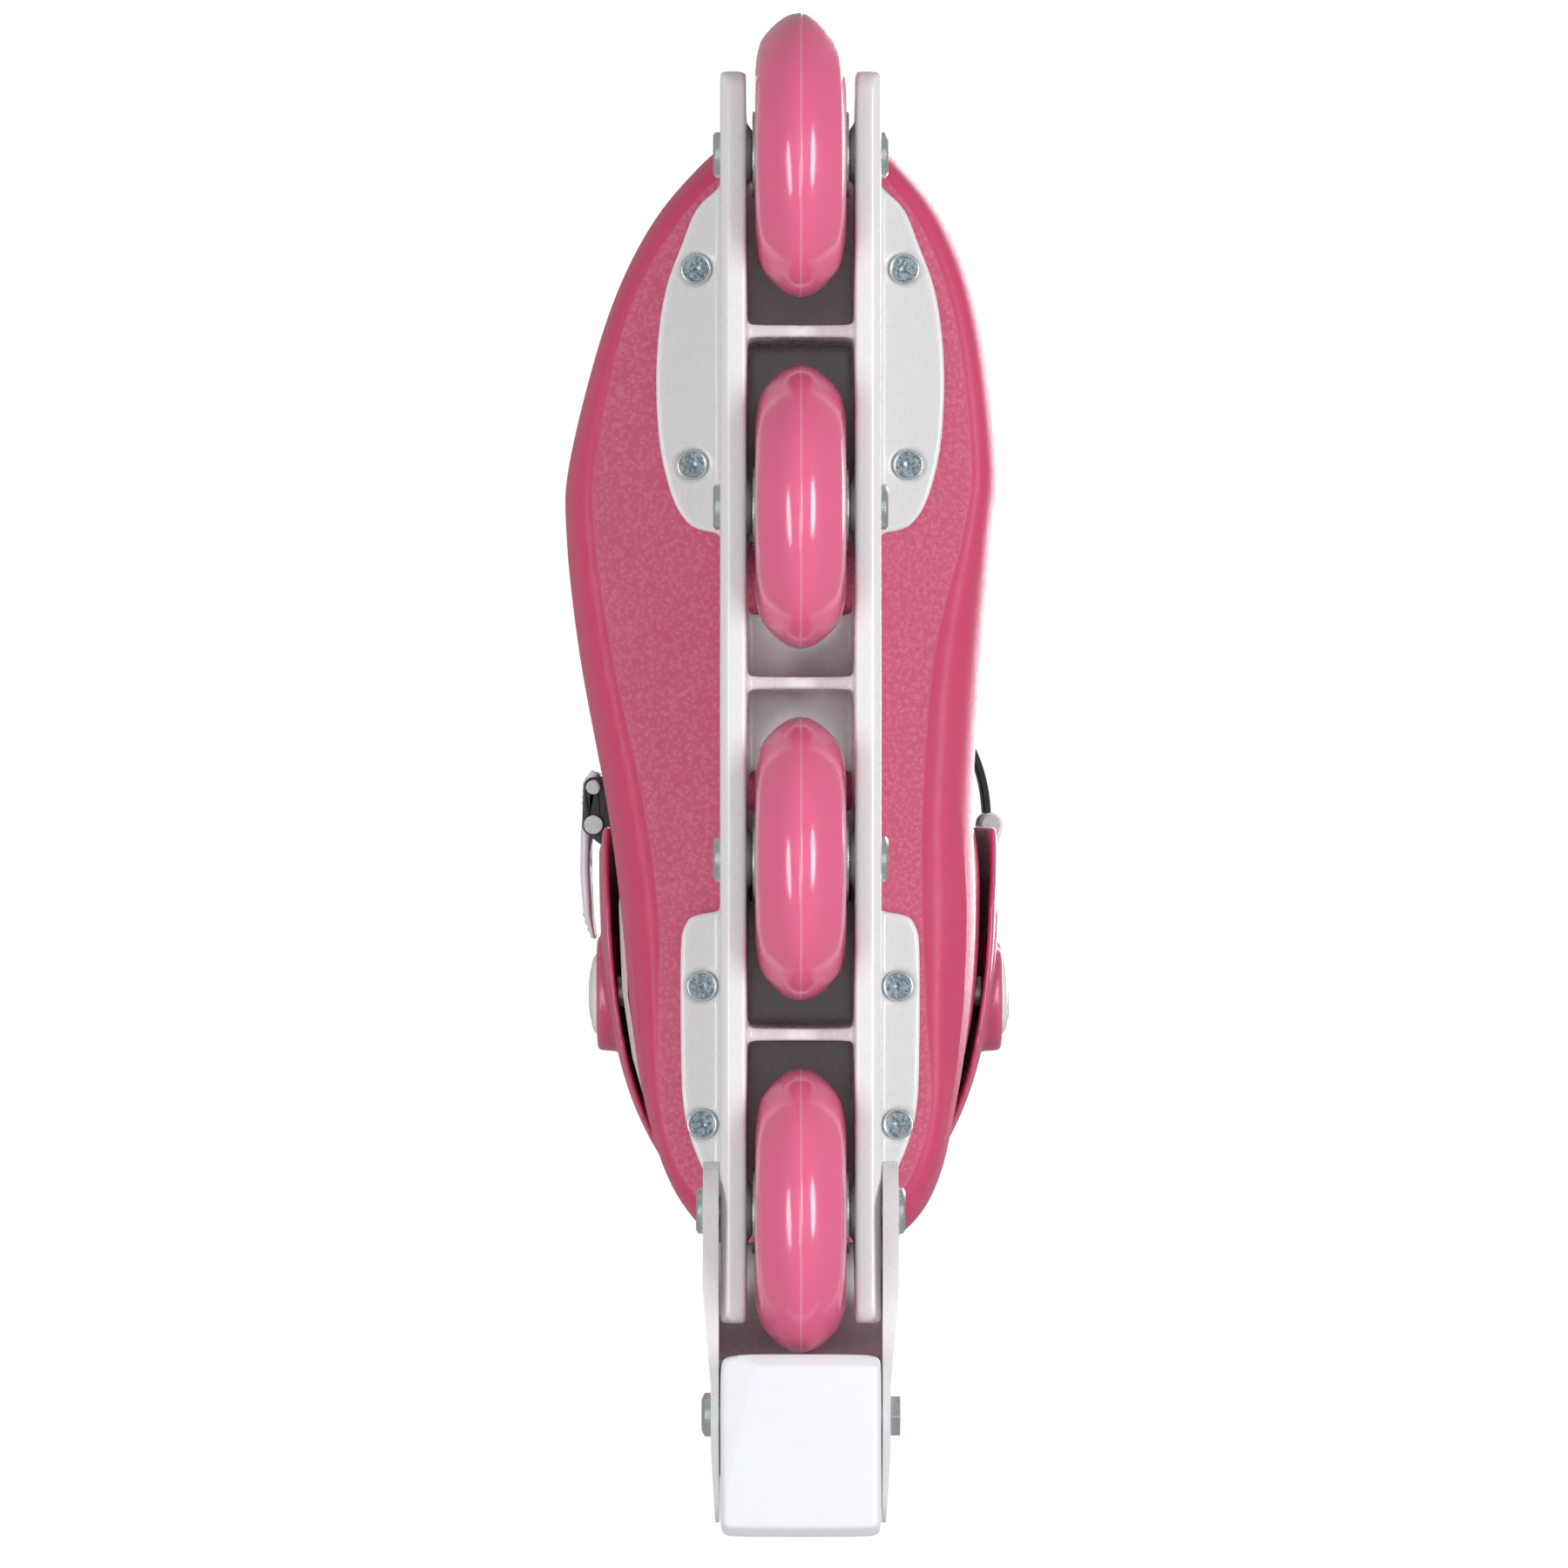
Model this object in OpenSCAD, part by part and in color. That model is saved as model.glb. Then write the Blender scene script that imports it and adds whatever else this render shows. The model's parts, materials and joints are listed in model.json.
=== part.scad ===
// Inline roller skate, right foot: hard boot with hinged cuff, four wheels in line and a heel brake.
// X points to the outer side of the foot, Y to the toe and Z up. The origin is on the ground,
// midway between the first and the last axle and midway between the frame's rails.

/* [Wheels] */
// Wheel diameter
wheel_d = 72; // [68:1:76]
// Wheel width
wheel_w = 24; // [22:0.5:24]
// Distance between neighbouring axles
axle_pitch = 89; // [84:1:92]

/* [Frame] */
// Clear width between the two rails
rail_gap = 27.4; // [27:0.1:29]
// Thickness of a rail
rail_t = 6.6; // [5:0.1:7]
// Thickness of the flange plates under the boot
plate_t = 4; // [3:0.5:5]

/* [Boot] */
// Wall thickness of the hard shell
shell_t = 3.5; // [3:0.1:4]
// Thickness of the padded liner
liner_t = 7; // [5:0.5:8]
// Wall thickness of the hinged cuff
cuff_t = 2.8; // [2.5:0.1:3.2]

/* [Closures] */
// Width of the ratchet strap on the cuff
strap_w = 24; // [20:1:26]
// Width of the fabric strap over the instep
instep_w = 36; // [28:1:38]

/* [Brake] */
// Length of the brake pad along the skate
pad_l = 46; // [44:1:48]

/* [Hidden] */
$fn = 48;
eps = 0.02;

axle_z = wheel_d / 2;
rail_in = rail_gap / 2;
rail_out = rail_in + rail_t;
front_z = 82;
heel_z = 90;
function axle_y(i) = (2.5 - i) * axle_pitch;

bearing_d = 22;
bearing_w = 7;
axle_r = 4;
inner_ring_face = 12.15;
spacer_half = inner_ring_face - bearing_w;
hub_r = 21;
crown_h = 9;
crown_in = 1.6;
crown_n = 1.5;
head_h = 1.8;

rivets = [[27, 107.8], [28, 57.1], [25.5, -78.2], [25.5, -114.1]];
rivet_r = 4;
rivet_shank_r = 2.4;

pivot_y = -83;
pivot_z = 178;
boss_face = 55.3;

brake_in = rail_out + 0.3;
brake_out = 24.6;
brake_face = 22.6;
pad_front = -167.8;
brake_bolt = [-185, 35];

strap_z = 240;
strap_y = -37;
strap_half = 53;
strap_front = 46.5;
strap_t = 2;
seat_x = 50;
lever_pin = 57.6;
pawl_y = 10.5;
anchor_pin = -53.8;
pin_r = 1.8;
buckle_w = strap_w + 10;

// Middle line of the ratchet strap: half an oval round the shin, then an arc about the anchor's
// pin, so that the strap slides along itself when it is swung out of the buckle.
swing_r = strap_half - anchor_pin;
strap_path = concat(
    [for (t = [178 : -8 : 2]) [strap_half * sgn_pow(cos(t), 0.9),
                               strap_y + strap_front * pow(sin(t), 0.9)]],
    [for (t = [0 : 1.5 : 4.5]) [anchor_pin + swing_r * cos(t), strap_y - swing_r * sin(t)]]);

instep_y = 22;
instep_z = 146;
instep_tilt = 68;
hinge_u = -39.5;
hinge_v = 14;

// Outline of the strap across the instep: from the hinge bar, over the tongue, down the outer side.
function instep_line(out) = [for (t = [34 : 6 : 142])
    [2 + (52 + out) * sgn_pow(cos(t), 2 / 2.2), -12 + (34 + out) * pow(sin(t), 2 / 2.2)]];

// Stations of the foot part of the boot: y, half-width to the outer side, half-width to the inner
// side, the same two at the flat of the sole, height of the sole and height of the top.
FOOT = [
    [-152,  9,    9,    4,    4,    101,  132],
    [-148, 19,   21,   10,   10,     95,  146],
    [-140, 28,   31,   20,   20,     91,  156],
    [-128, 35,   37,   31,   29,     90,  164],
    [-110, 40,   40.5, 36.5, 34,     90,  172],
    [ -85, 43,   43.5, 37,   33,     90,  178],
    [ -60, 46.5, 45.5, 37,   32,     90,  182],
    [ -30, 51,   45.5, 41,   32,     87.5, 184],
    [   8, 58,   48,   49,   35,     84.5, 172],
    [  40, 61.5, 51,   53.5, 42.5,   82,  160],
    [  60, 60.5, 52.5, 53,   44.5,   82,  154],
    [  96, 51,   48,   45,   40,     82,  145],
    [ 120, 40,   40,   32,   31,     82,  136],
    [ 136, 27,   28,   17,   18,     83.5, 128],
    [ 144, 17,   18,    7,    7,     88,  121],
    [ 148,  8,    8,    3,    3,     98,  112]];
widest_up = 27;

// Stations of the ankle part of the boot: z, half-width, rear y and front y.
ANKLE = [
    [100, 42,   -146, -10],
    [130, 46,   -148,  -6],
    [160, 49.5, -145,  -2],
    [190, 50,   -139,   0],
    [215, 47.5, -134,   2],
    [240, 46,   -130,   5],
    [270, 47.5, -126,   9],
    [302, 50,   -123,  14]];
egg_front = 55;
egg_n = 2.3;

function sgn_pow(v, p) = sign(v) * pow(abs(v), p);

// Outline of the ankle in plan: a rounded egg, long behind its widest place and short before it.
function egg(w, rear, front) =
    let (mid = front - egg_front)
    [for (t = [0 : 12 : 348])
        let (c = cos(t), s = sin(t))
        [w * sgn_pow(c, 2 / egg_n),
         mid + (s > 0 ? front - mid : mid - rear) * sgn_pow(s, 2 / egg_n)]];

// Half of a section across the foot, from the sole's flat round the widest place to the top.
function half_section(side, sole, zs, zt) =
    let (zw = min(zs + widest_up, (zs + zt) / 2))
    concat(
        [for (t = [-90 : 15 : 0]) [sole + (side - sole) * pow(cos(t), 2 / 2.6),
                                   zw - (zw - zs) * pow(-sin(t), 2 / 1.7)]],
        [for (t = [15 : 15 : 90]) [side * pow(cos(t), 2 / egg_n),
                                   zw + (zt - zw) * pow(sin(t), 2 / egg_n)]]);

function section(lat, med, sole_lat, sole_med, zs, zt) =
    let (a = half_section(lat, sole_lat, zs, zt), b = half_section(med, sole_med, zs, zt))
    concat(a, [for (i = [len(b) - 2 : -1 : 0]) [-b[i][0], b[i][1]]]);

module along_x(x0, x1, r) {
    translate([x0, 0, 0]) rotate([0, 90, 0]) cylinder(r = r, h = x1 - x0);
}

module both_sides() {
    children();
    mirror([1, 0, 0]) children();
}

// A round solid about the X axis, from a profile of [x, radius] points.
module turned(profile) {
    rotate([0, 90, 0]) rotate_extrude() polygon([for (p = profile) [p[1], p[0]]]);
}

// A plate in the YZ plane from x0 to x1.
module side_plate(x0, x1) {
    translate([x0, 0, 0]) rotate([90, 0, 90]) linear_extrude(x1 - x0) children();
}

module foot_slice(i, inset, up) {
    s = FOOT[i];
    y = s[0] * (1 - inset / 150);
    translate([0, y, 0]) rotate([90, 0, 0]) linear_extrude(eps)
        polygon(section(max(s[1] - inset, 1), max(s[2] - inset, 1), max(s[3] - inset, 0.5),
                        max(s[4] - inset, 0.5), s[5] + up, s[6] - inset));
}

module foot_loft(inset, up) {
    for (i = [0 : len(FOOT) - 2]) hull() {
        foot_slice(i, inset, up);
        foot_slice(i + 1, inset, up);
    }
}

module ankle_slice(i, inset, rear, front) {
    s = ANKLE[i];
    translate([0, 0, s[0] + (i == 0 ? max(inset, 0) : 0)]) linear_extrude(eps)
        polygon(egg(s[1] - inset, s[2] + inset - rear, s[3] - inset + front));
}

module ankle_loft(inset, first = 0, last = len(ANKLE) - 1, rear = 0, front = 0) {
    for (i = [first : last - 1]) hull() {
        ankle_slice(i, inset, rear, front);
        ankle_slice(i + 1, inset, rear, front);
    }
}

module boot_form(inset, up) {
    foot_loft(inset, up);
    ankle_loft(inset);
}

// The open throat in plan, over the instep and up the front of the ankle.
module throat(half, z0, front) {
    translate([0, 0, z0]) linear_extrude(300) hull() {
        translate([0, front - half]) circle(r = half);
        translate([-half, -40]) square([2 * half, 1]);
    }
}

// Everything below a line through the cuff's pivot that rises by an angle to the toe.
module below_flex_line(front_angle, rear_angle) {
    reach = 400;
    side_plate(-100, 100) polygon([
        [pivot_y, pivot_z], [pivot_y + reach, pivot_z + reach * tan(front_angle)],
        [pivot_y + reach, 0], [pivot_y - reach, 0],
        [pivot_y - reach, pivot_z + reach * tan(rear_angle)]]);
}

// ---- Frame ----

module rail_outline() {
    offset(r = 5) offset(r = -5) polygon([
        [-161.5, 25], [154, 25], [154, 37], [129, front_z - 0.4], [40, front_z - 0.4],
        [-58, heel_z - 0.4], [-133, heel_z - 0.4], [-161.5, 44]]);
}

module rail_windows() {
    for (w = [[-26, -9], [9, 26]]) hull() {
        translate([w[0], 50]) circle(r = 4);
        translate([w[1], 50]) circle(r = 4);
        translate([(w[0] + w[1]) / 2, 68]) circle(r = 3);
    }
}

// A smooth curve through all the points, with a few points between neighbours.
function curve(p, steps = 4) =
    let (n = len(p) - 1)
    concat([for (i = [0 : n - 1]) for (k = [0 : steps - 1])
        let (a = p[max(i - 1, 0)], b = p[i], c = p[i + 1], d = p[min(i + 2, n)], t = k / steps)
        b + t / 2 * (c - a + t * (2 * a - 5 * b + 4 * c - d + t * (3 * (b - c) + d - a)))], [p[n]]);

function mirrored(p) = concat(p, [for (i = [len(p) - 1 : -1 : 0]) [-p[i][0], p[i][1]]]);

module front_plate_outline() {
    polygon(mirrored(curve([[18, 129], [21.1, 128.3], [26.8, 123.3], [30.6, 114.3], [34.7, 103], [36.8, 90],
        [37.3, 76], [36.2, 61], [33.2, 49], [29.7, 42.8], [25.6, 40.3], [18, 39.6]])));
}

module rear_plate_outline() {
    polygon(mirrored(curve([[18, -132], [22.3, -130], [25.1, -126], [28.4, -118], [30.4, -109], [31, -94],
        [31, -69], [29.9, -62.6], [26.9, -59.8], [18, -59]])));
}

module frame() {
    deck_z = wheel_d + 4;
    seat_gap = 0.1;
    color("white") difference() {
        union() {
            both_sides() side_plate(rail_in, rail_out) difference() {
                rail_outline();
                rail_windows();
            }
            translate([0, 0, front_z - plate_t]) linear_extrude(plate_t - seat_gap) front_plate_outline();
            translate([0, 0, heel_z - plate_t]) linear_extrude(plate_t - seat_gap) rear_plate_outline();
            for (span = [[38, 128], [-22, 18], [-50, -33], [-131, -57]])
                translate([-rail_in - 1, span[0], deck_z])
                    cube([rail_gap + 2, span[1] - span[0], 3]);
            for (y = [-1, 0, 1]) translate([-rail_in - 1, y * axle_pitch - 1.5, 36])
                cube([rail_gap + 2, 3, deck_z - 35]);
            for (y = [-60, -129]) translate([-rail_in - 1, y, deck_z + 1])
                cube([rail_gap + 2, 3, heel_z - plate_t - deck_z]);
            for (i = [1 : 4]) translate([0, axle_y(i), axle_z]) both_sides()
                turned([[12.2, 0], [12.2, 6.2], [rail_in + 0.5, 8.6], [rail_in + 0.5, 0]]);
        }
        for (i = [1 : 4]) translate([0, axle_y(i), axle_z]) along_x(-30, 30, axle_r + 0.1);
        for (p = rivets) both_sides() translate([p[0], p[1], 60]) {
            cylinder(r = rivet_shank_r + 0.05, h = 40);
            cylinder(r = rivet_r + 0.3, h = (p[1] > 0 ? front_z : heel_z) - plate_t + 0.6 - 60);
        }
    }
}

module at_rivets() {
    for (p = rivets) both_sides()
        translate([p[0], p[1], p[1] > 0 ? front_z : heel_z]) children();
}

module frame_rivets() {
    color("lightsteelblue") at_rivets() {
        translate([0, 0, 0.6 - plate_t - 1]) cylinder(r = rivet_r, h = 1);
        translate([0, 0, 0.6 - plate_t]) cylinder(r = rivet_shank_r, h = plate_t + shell_t + 0.6);
        translate([0, 0, shell_t + 1.2]) cylinder(r = 3.4, h = 0.8);
    }
}

module rivet_washers() {
    color("lightsteelblue") at_rivets() translate([0, 0, shell_t + 0.35]) difference() {
        cylinder(r = 4, h = 0.8);
        translate([0, 0, -1]) cylinder(r = rivet_shank_r + 0.1, h = 3);
    }
}

// ---- Axles and bearings ----

module axle_barrel(out) {
    difference() {
        turned([[out, 0], [out, 5.8], [out + 1.2, 5.8], [out + head_h, 5], [out + head_h, 0]]);
        translate([out + 0.6, 0, 0]) along_x(0, 3, 2.4);
    }
    difference() {
        along_x(1 - out, out + eps, axle_r);
        along_x(-out, 8, 3);
    }
}

module axle_screw(out) {
    difference() {
        turned([[-out, 0], [-out, 5.8], [-out - 1.2, 5.8], [-out - head_h, 5], [-out - head_h, 0]]);
        translate([-out - 4, 0, 0]) along_x(0, 3.4, 2.4);
    }
    along_x(-out - eps, 6, 2.95);
}

module at_axles(first, last) {
    for (i = [first : last]) translate([0, axle_y(i), axle_z]) children();
}

module axle_barrels() {
    color("silver") at_axles(1, 3) axle_barrel(rail_out);
}

module axle_screws() {
    color("silver") at_axles(1, 3) axle_screw(rail_out);
}

module rear_axle_barrel() {
    color("silver") at_axles(4, 4) axle_barrel(brake_out);
}

module rear_axle_screw() {
    color("silver") at_axles(4, 4) axle_screw(brake_out);
}

module at_bearings() {
    both_sides() translate([inner_ring_face - bearing_w / 2, 0, 0]) children();
}

module race_groove() {
    rotate([0, 90, 0]) rotate_extrude() translate([7.5, 0]) circle(r = 2.03);
}

module bearing_inner_rings() {
    color("silver") at_axles(1, 4) at_bearings() difference() {
        along_x(-bearing_w / 2, bearing_w / 2, 6.1);
        along_x(-bearing_w, bearing_w, axle_r + 0.03);
        race_groove();
    }
}

module bearing_balls() {
    balls = 7;
    color("silver") at_axles(1, 4) at_bearings()
        for (k = [0 : balls - 1]) rotate([k * 360 / balls, 0, 0]) translate([0, 0, 7.5]) sphere(r = 1.98);
}

module bearing_spacers() {
    color("silver") at_axles(1, 4) difference() {
        along_x(-spacer_half, spacer_half, 5.2);
        along_x(-spacer_half - 1, spacer_half + 1, axle_r + 0.05);
    }
}

module bearings(i) {
    shield_in = bearing_w / 2 - 0.7;
    color("silver") at_axles(i, i) at_bearings() {
        difference() {
            along_x(-bearing_w / 2, bearing_w / 2, bearing_d / 2);
            along_x(-bearing_w, bearing_w, 9);
            race_groove();
        }
        for (x = [-bearing_w / 2 + 0.2, shield_in]) difference() {
            along_x(x, x + 0.5, 9.1);
            along_x(x - 1, x + 2, 6.4);
        }
    }
}

// ---- Wheels ----

module tyre(i) {
    half = wheel_w / 2;
    side_r = wheel_d / 2 - crown_h;
    crown = [for (t = [0 : 7.5 : 180]) [(half - crown_in) * sgn_pow(cos(t), 2 / crown_n),
                                        side_r + crown_h * pow(sin(t), 2 / crown_n)]];
    color("hotpink") at_axles(i, i) turned(concat([[half - 1.1, hub_r], [half - 0.6, hub_r + 0.8]], crown,
        [[0.6 - half, hub_r + 0.8], [1.1 - half, hub_r]]));
}

module hub(i) {
    half = wheel_w / 2;
    spokes = 6;
    color("white") at_axles(i, i) difference() {
        turned([[half - 1.5, bearing_d / 2], [half - 0.5, 13.5], [8, 14], [8, 18.5], [half - 1.8, 19],
            [half - 1.5, hub_r], [1.5 - half, hub_r], [1.8 - half, 19], [-8, 18.5], [-8, 14],
            [0.5 - half, 13.5], [1.5 - half, bearing_d / 2]]);
        both_sides() along_x(spacer_half, half + 1, bearing_d / 2);
        for (k = [0 : spokes - 1]) rotate([k * 360 / spokes, 0, 0])
            translate([-half, 0, 0]) rotate([0, 90, 0]) linear_extrude(wheel_w)
                polygon([[14.4, -5.2], [18.2, -6.4], [18.2, 6.4], [14.4, 5.2]]);
    }
    color("white") at_axles(i, i) difference() {
        along_x(-spacer_half, spacer_half, bearing_d / 2 + eps);
        along_x(-half, half, 9.4);
    }
}

// ---- Brake ----

module brake_side() {
    hull() {
        translate([axle_y(4), axle_z]) circle(r = 12.5);
        translate([brake_bolt[0], 38]) circle(r = 13);
    }
    hull() {
        translate([brake_bolt[0], 38]) circle(r = 13);
        translate([pad_front - pad_l + 10, 41]) circle(r = 9);
    }
    hull() {
        translate([-150, 42]) circle(r = 6);
        translate([-166, 58]) circle(r = 6.5);
        translate([brake_bolt[0], 40]) circle(r = 11);
    }
}

// The arms' shape from above: parallel beside the wheel, then closing in on the pad.
module brake_plan() {
    back = pad_front - pad_l - 2;
    polygon([[brake_in, -110], [brake_out, -110], [brake_out, -152], [brake_face, brake_bolt[0] + 8],
        [brake_face, brake_bolt[0] - 8], [brake_in + 0.8, back], [brake_in, back]]);
}

module brake_holder() {
    color("white") difference() {
        union() {
            both_sides() intersection() {
                side_plate(brake_in, brake_out) brake_side();
                linear_extrude(80) brake_plan();
            }
            side_plate(-brake_in - 0.5, brake_in + 0.5) polygon([
                [-172, 43.5], [-171.8, 47], [-169.6, 51.5], [-166.5, 57], [-162.3, 62.3], [-164.4, 64],
                [-169.2, 58.6], [-172.4, 53.4], [-176, 51], [-202, 51], [-202, 48], [-178, 48],
                [-174.6, 45], [-174.6, 43.5]]);
        }
        translate([0, axle_y(4), axle_z]) along_x(-30, 30, axle_r + 0.1);
        translate([0, brake_bolt[0], brake_bolt[1]]) along_x(-30, 30, 3.1);
    }
}

module brake_pad() {
    half = brake_in - 0.3;
    back = pad_front - pad_l;
    color("white") difference() {
        side_plate(-half, half) offset(r = 3) offset(r = -3)
            polygon([[pad_front, 13], [pad_front - 3, 10], [back + 3, 10], [back, 14], [back + 3, 42],
                [back + 10, 47.5], [-178.4, 47.5], [-175.2, 43], [pad_front - 4.4, 43],
                [pad_front - 3.6, 38], [pad_front - 3.8, 30]]);
        translate([0, brake_bolt[0], brake_bolt[1]]) along_x(-30, 30, 3.1);
    }
}

module brake_bolt() {
    color("silver") translate([0, brake_bolt[0], brake_bolt[1]]) {
        difference() {
            turned([[brake_face, 0], [brake_face, 5.5], [brake_face + 1.6, 5.5], [brake_face + 2.4, 4],
                [brake_face + 2.4, 0]]);
            translate([brake_face + 1, 0, 0]) along_x(0, 3, 2);
        }
        along_x(-brake_face - 2.3, brake_face + eps, 3);
    }
}

module brake_nut() {
    color("silver") translate([0, brake_bolt[0], brake_bolt[1]]) difference() {
        translate([-brake_face - 2.5, 0, 0]) rotate([0, 90, 0]) cylinder(r = 5.8, h = 2.4, $fn = 6);
        along_x(-brake_face - 4, -brake_face + 1, 3.03);
    }
}

// ---- Boot ----

module shell() {
    color("palevioletred") difference() {
        intersection() {
            boot_form(0, 0);
            side_plate(-100, 100) polygon([[-160, 70], [160, 70], [160, 190], [60, 190], [-5, 175],
                [-25, 181], [-45, 186], [-70, 189], [-110, 189], [-160, 184]]);
        }
        boot_form(shell_t, shell_t);
        translate([0, 0, 185]) linear_extrude(60) polygon(egg(50 - shell_t, shell_t - 139, -shell_t));
        throat(28, 130, 78);
        for (p = rivets) both_sides()
            translate([p[0], p[1], 70]) cylinder(r = rivet_shank_r + 0.1, h = 30, $fn = 16);
        both_sides() translate([0, pivot_y, pivot_z]) {
            along_x(30, 60, 5.1);
            along_x(30, 45, 9.5);
        }
    }
}

module shell_trim() {
    color("white") intersection() {
        difference() {
            boot_form(-0.9, -0.9);
            boot_form(-0.05, -0.05);
        }
        side_plate(20, 80) offset(r = 2) offset(r = -2)
            polygon([[-50, 136], [-52, 144], [-112, 145], [-116, 141], [-112, 137]]);
    }
}

module insole() {
    color("lightgray") intersection() {
        foot_loft(shell_t + liner_t + 3, shell_t + liner_t + 1.2);
        difference() {
            side_plate(-70, 70)
                polygon([[-160, 80], [160, 80], [160, 95], [38, 95], [-62, 103], [-160, 103]]);
            side_plate(-71, 71)
                polygon([[-170, 70], [170, 70], [170, 91], [38, 91], [-62, 99], [-170, 99]]);
        }
    }
}

module liner() {
    out = shell_t + 2.5;
    color("dimgray") difference() {
        intersection() {
            boot_form(out, shell_t + 2.3);
            below_flex_line(-1, -1);
        }
        boot_form(out + liner_t, shell_t + 2.3 + 5);
        throat(19, 120, 64);
    }
}

module tongue() {
    color("dimgray") intersection() {
        difference() {
            boot_form(0.4, 0);
            boot_form(5.6, 5.6);
            side_plate(-100, 100)
                polygon([[-200, 60], [160, 60], [160, 100], [-20, 140], [-30, 400], [-200, 400]]);
        }
        throat(27, 125, 77);
        below_flex_line(-1, -1);
    }
}

// ---- Cuff ----

module cuff_form(out) {
    ankle_loft(-out, 1, 7, 2.5, 6);
}

module cuff() {
    gap = 1.8;
    color("palevioletred") difference() {
        union() {
            intersection() {
                difference() {
                    cuff_form(gap + cuff_t);
                    cuff_form(gap);
                }
                side_plate(-100, 100) offset(r = 6) offset(r = -6)
                    polygon([[-37, 168], [-58, 153], [-96, 151], [-122, 163], [-160, 174], [-160, 284],
                        [-122, 286], [-62, 270], [-37, 261]]);
            }
            both_sides() translate([0, pivot_y, pivot_z]) difference() {
                turned([[49.9, 0], [49.9, 17], [boss_face - 1, 15.6], [boss_face, 14.6], [boss_face, 0]]);
                along_x(boss_face - 2.4, 60, 11.2);
            }
        }
        both_sides() translate([0, pivot_y, pivot_z]) {
            along_x(30, 60, 5.3);
            along_x(boss_face - 2.4, 60, 11.2);
        }
        both_sides()
            translate([seat_x, strap_y - 30, strap_z - buckle_w / 2 - 1]) cube([10, 40, buckle_w + 2]);
        for (y = [-22, -15]) translate([40, strap_y + y, strap_z]) along_x(0, 20, 1.65);
        for (z = [-9, 9]) translate([-60, strap_y - 15, strap_z + z]) along_x(0, 20, 1.65);
    }
}

module cuff_liner() {
    out = shell_t + 2.5;
    color("dimgray") difference() {
        ankle_loft(out, 2, 7);
        ankle_loft(out + liner_t, 2, 7);
        translate([0, 0, 301.99]) linear_extrude(5) square(400, center = true);
        throat(19, 120, 64);
        below_flex_line(19, 6);
    }
}

module tongue_top() {
    color("dimgray") difference() {
        intersection() {
            difference() {
                ankle_loft(-0.5, 2, 7);
                ankle_loft(5.6, 2, 7);
            }
            throat(27, 120, 77);
            translate([-50, -28, 100]) cube([100, 100, 300]);
        }
        below_flex_line(19, 6);
    }
}

module pivot_nuts() {
    color("silver") both_sides() translate([0, pivot_y, pivot_z]) difference() {
        union() {
            along_x(43.9, 45, 8.5);
            along_x(44.9, 52.7, 5);
        }
        along_x(40, 60, 2.5);
    }
}

module pivot_screws() {
    color("silver") both_sides() translate([0, pivot_y, pivot_z]) {
        along_x(44, boss_face - 2.3, 2.47);
        along_x(boss_face - 2.35, boss_face - 0.7, 7);
    }
}

module pivot_caps() {
    color("white") both_sides() translate([0, pivot_y, pivot_z])
        turned([[54.7, 0], [54.7, 10.9], [55.6, 10.9], [56.4, 9.6], [57.1, 7.2], [57.5, 4], [57.6, 0]]);
}

// ---- Cuff closure ----

module upright(x, y, r, h) {
    translate([x, strap_y + y, strap_z - h / 2]) cylinder(r = r, h = h);
}

module buckle_base() {
    ear = 3;
    color("black") difference() {
        union() {
            translate([seat_x, strap_y - 26, strap_z - buckle_w / 2]) cube([1.3, 33.5, buckle_w]);
            for (s = [-1, 1]) translate([0, 0, s * (buckle_w - ear) / 2]) hull() {
                upright(lever_pin, 0, 3.2, ear);
                upright(lever_pin, pawl_y, 2.8, ear);
                translate([seat_x, strap_y - 9, strap_z - ear / 2]) cube([1, 23, ear]);
            }
        }
        upright(lever_pin, 0, pin_r + 0.05, buckle_w + 2);
        upright(lever_pin, pawl_y, 1.25, buckle_w + 2);
        for (y = [-22, -15]) translate([40, strap_y + y, strap_z]) along_x(0, 20, 1.6);
    }
}

module buckle_pins() {
    color("silver") {
        upright(lever_pin, 0, pin_r, buckle_w + 1);
        upright(lever_pin, pawl_y, 1.2, buckle_w + 1);
        for (s = [-1, 1]) translate([0, 0, s * (buckle_w / 2 + 0.6)]) {
            upright(lever_pin, 0, 2.6, 1);
            upright(lever_pin, pawl_y, 2, 1);
        }
    }
}

module buckle_lever() {
    w = buckle_w - 6.8;
    color("white") difference() {
        union() {
            upright(lever_pin, 0, 3.2, w);
            translate([0, 0, strap_z - w / 2]) linear_extrude(w) polygon([
                [lever_pin, strap_y + 2.4], [lever_pin + 3, strap_y + 1.6], [lever_pin + 3.8, strap_y - 3],
                [lever_pin + 4, strap_y - 14], [lever_pin + 3, strap_y - 26], [lever_pin + 1, strap_y - 32],
                [lever_pin - 0.6, strap_y - 32.4], [lever_pin + 0.4, strap_y - 25],
                [lever_pin + 1, strap_y - 12], [lever_pin + 0.8, strap_y - 2]]);
        }
        upright(lever_pin, 0, pin_r + 0.05, buckle_w);
    }
}

module buckle_pawl() {
    w = buckle_w - 6.8;
    y = strap_y + pawl_y;
    color("white") difference() {
        union() {
            upright(lever_pin, pawl_y, 2.4, w);
            translate([0, 0, strap_z - w / 2]) linear_extrude(w) polygon([
                [lever_pin - 1, y + 2], [lever_pin - 1.6, y + 4.4], [lever_pin + 0.6, y + 5],
                [lever_pin + 3, y + 1.5], [lever_pin + 3.4, y - 5.2], [lever_pin + 1.6, y - 5.2],
                [lever_pin + 1.4, y - 1]]);
        }
        upright(lever_pin, pawl_y, 1.25, buckle_w);
    }
}

module buckle_rivets() {
    color("silver") for (y = [-22, -15]) translate([0, strap_y + y, strap_z]) {
        along_x(45.9, seat_x + 1.3, 1.55);
        along_x(seat_x + 1.3, seat_x + 1.5, 2.6);
        along_x(44.9, 46, 2.6);
    }
}

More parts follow.
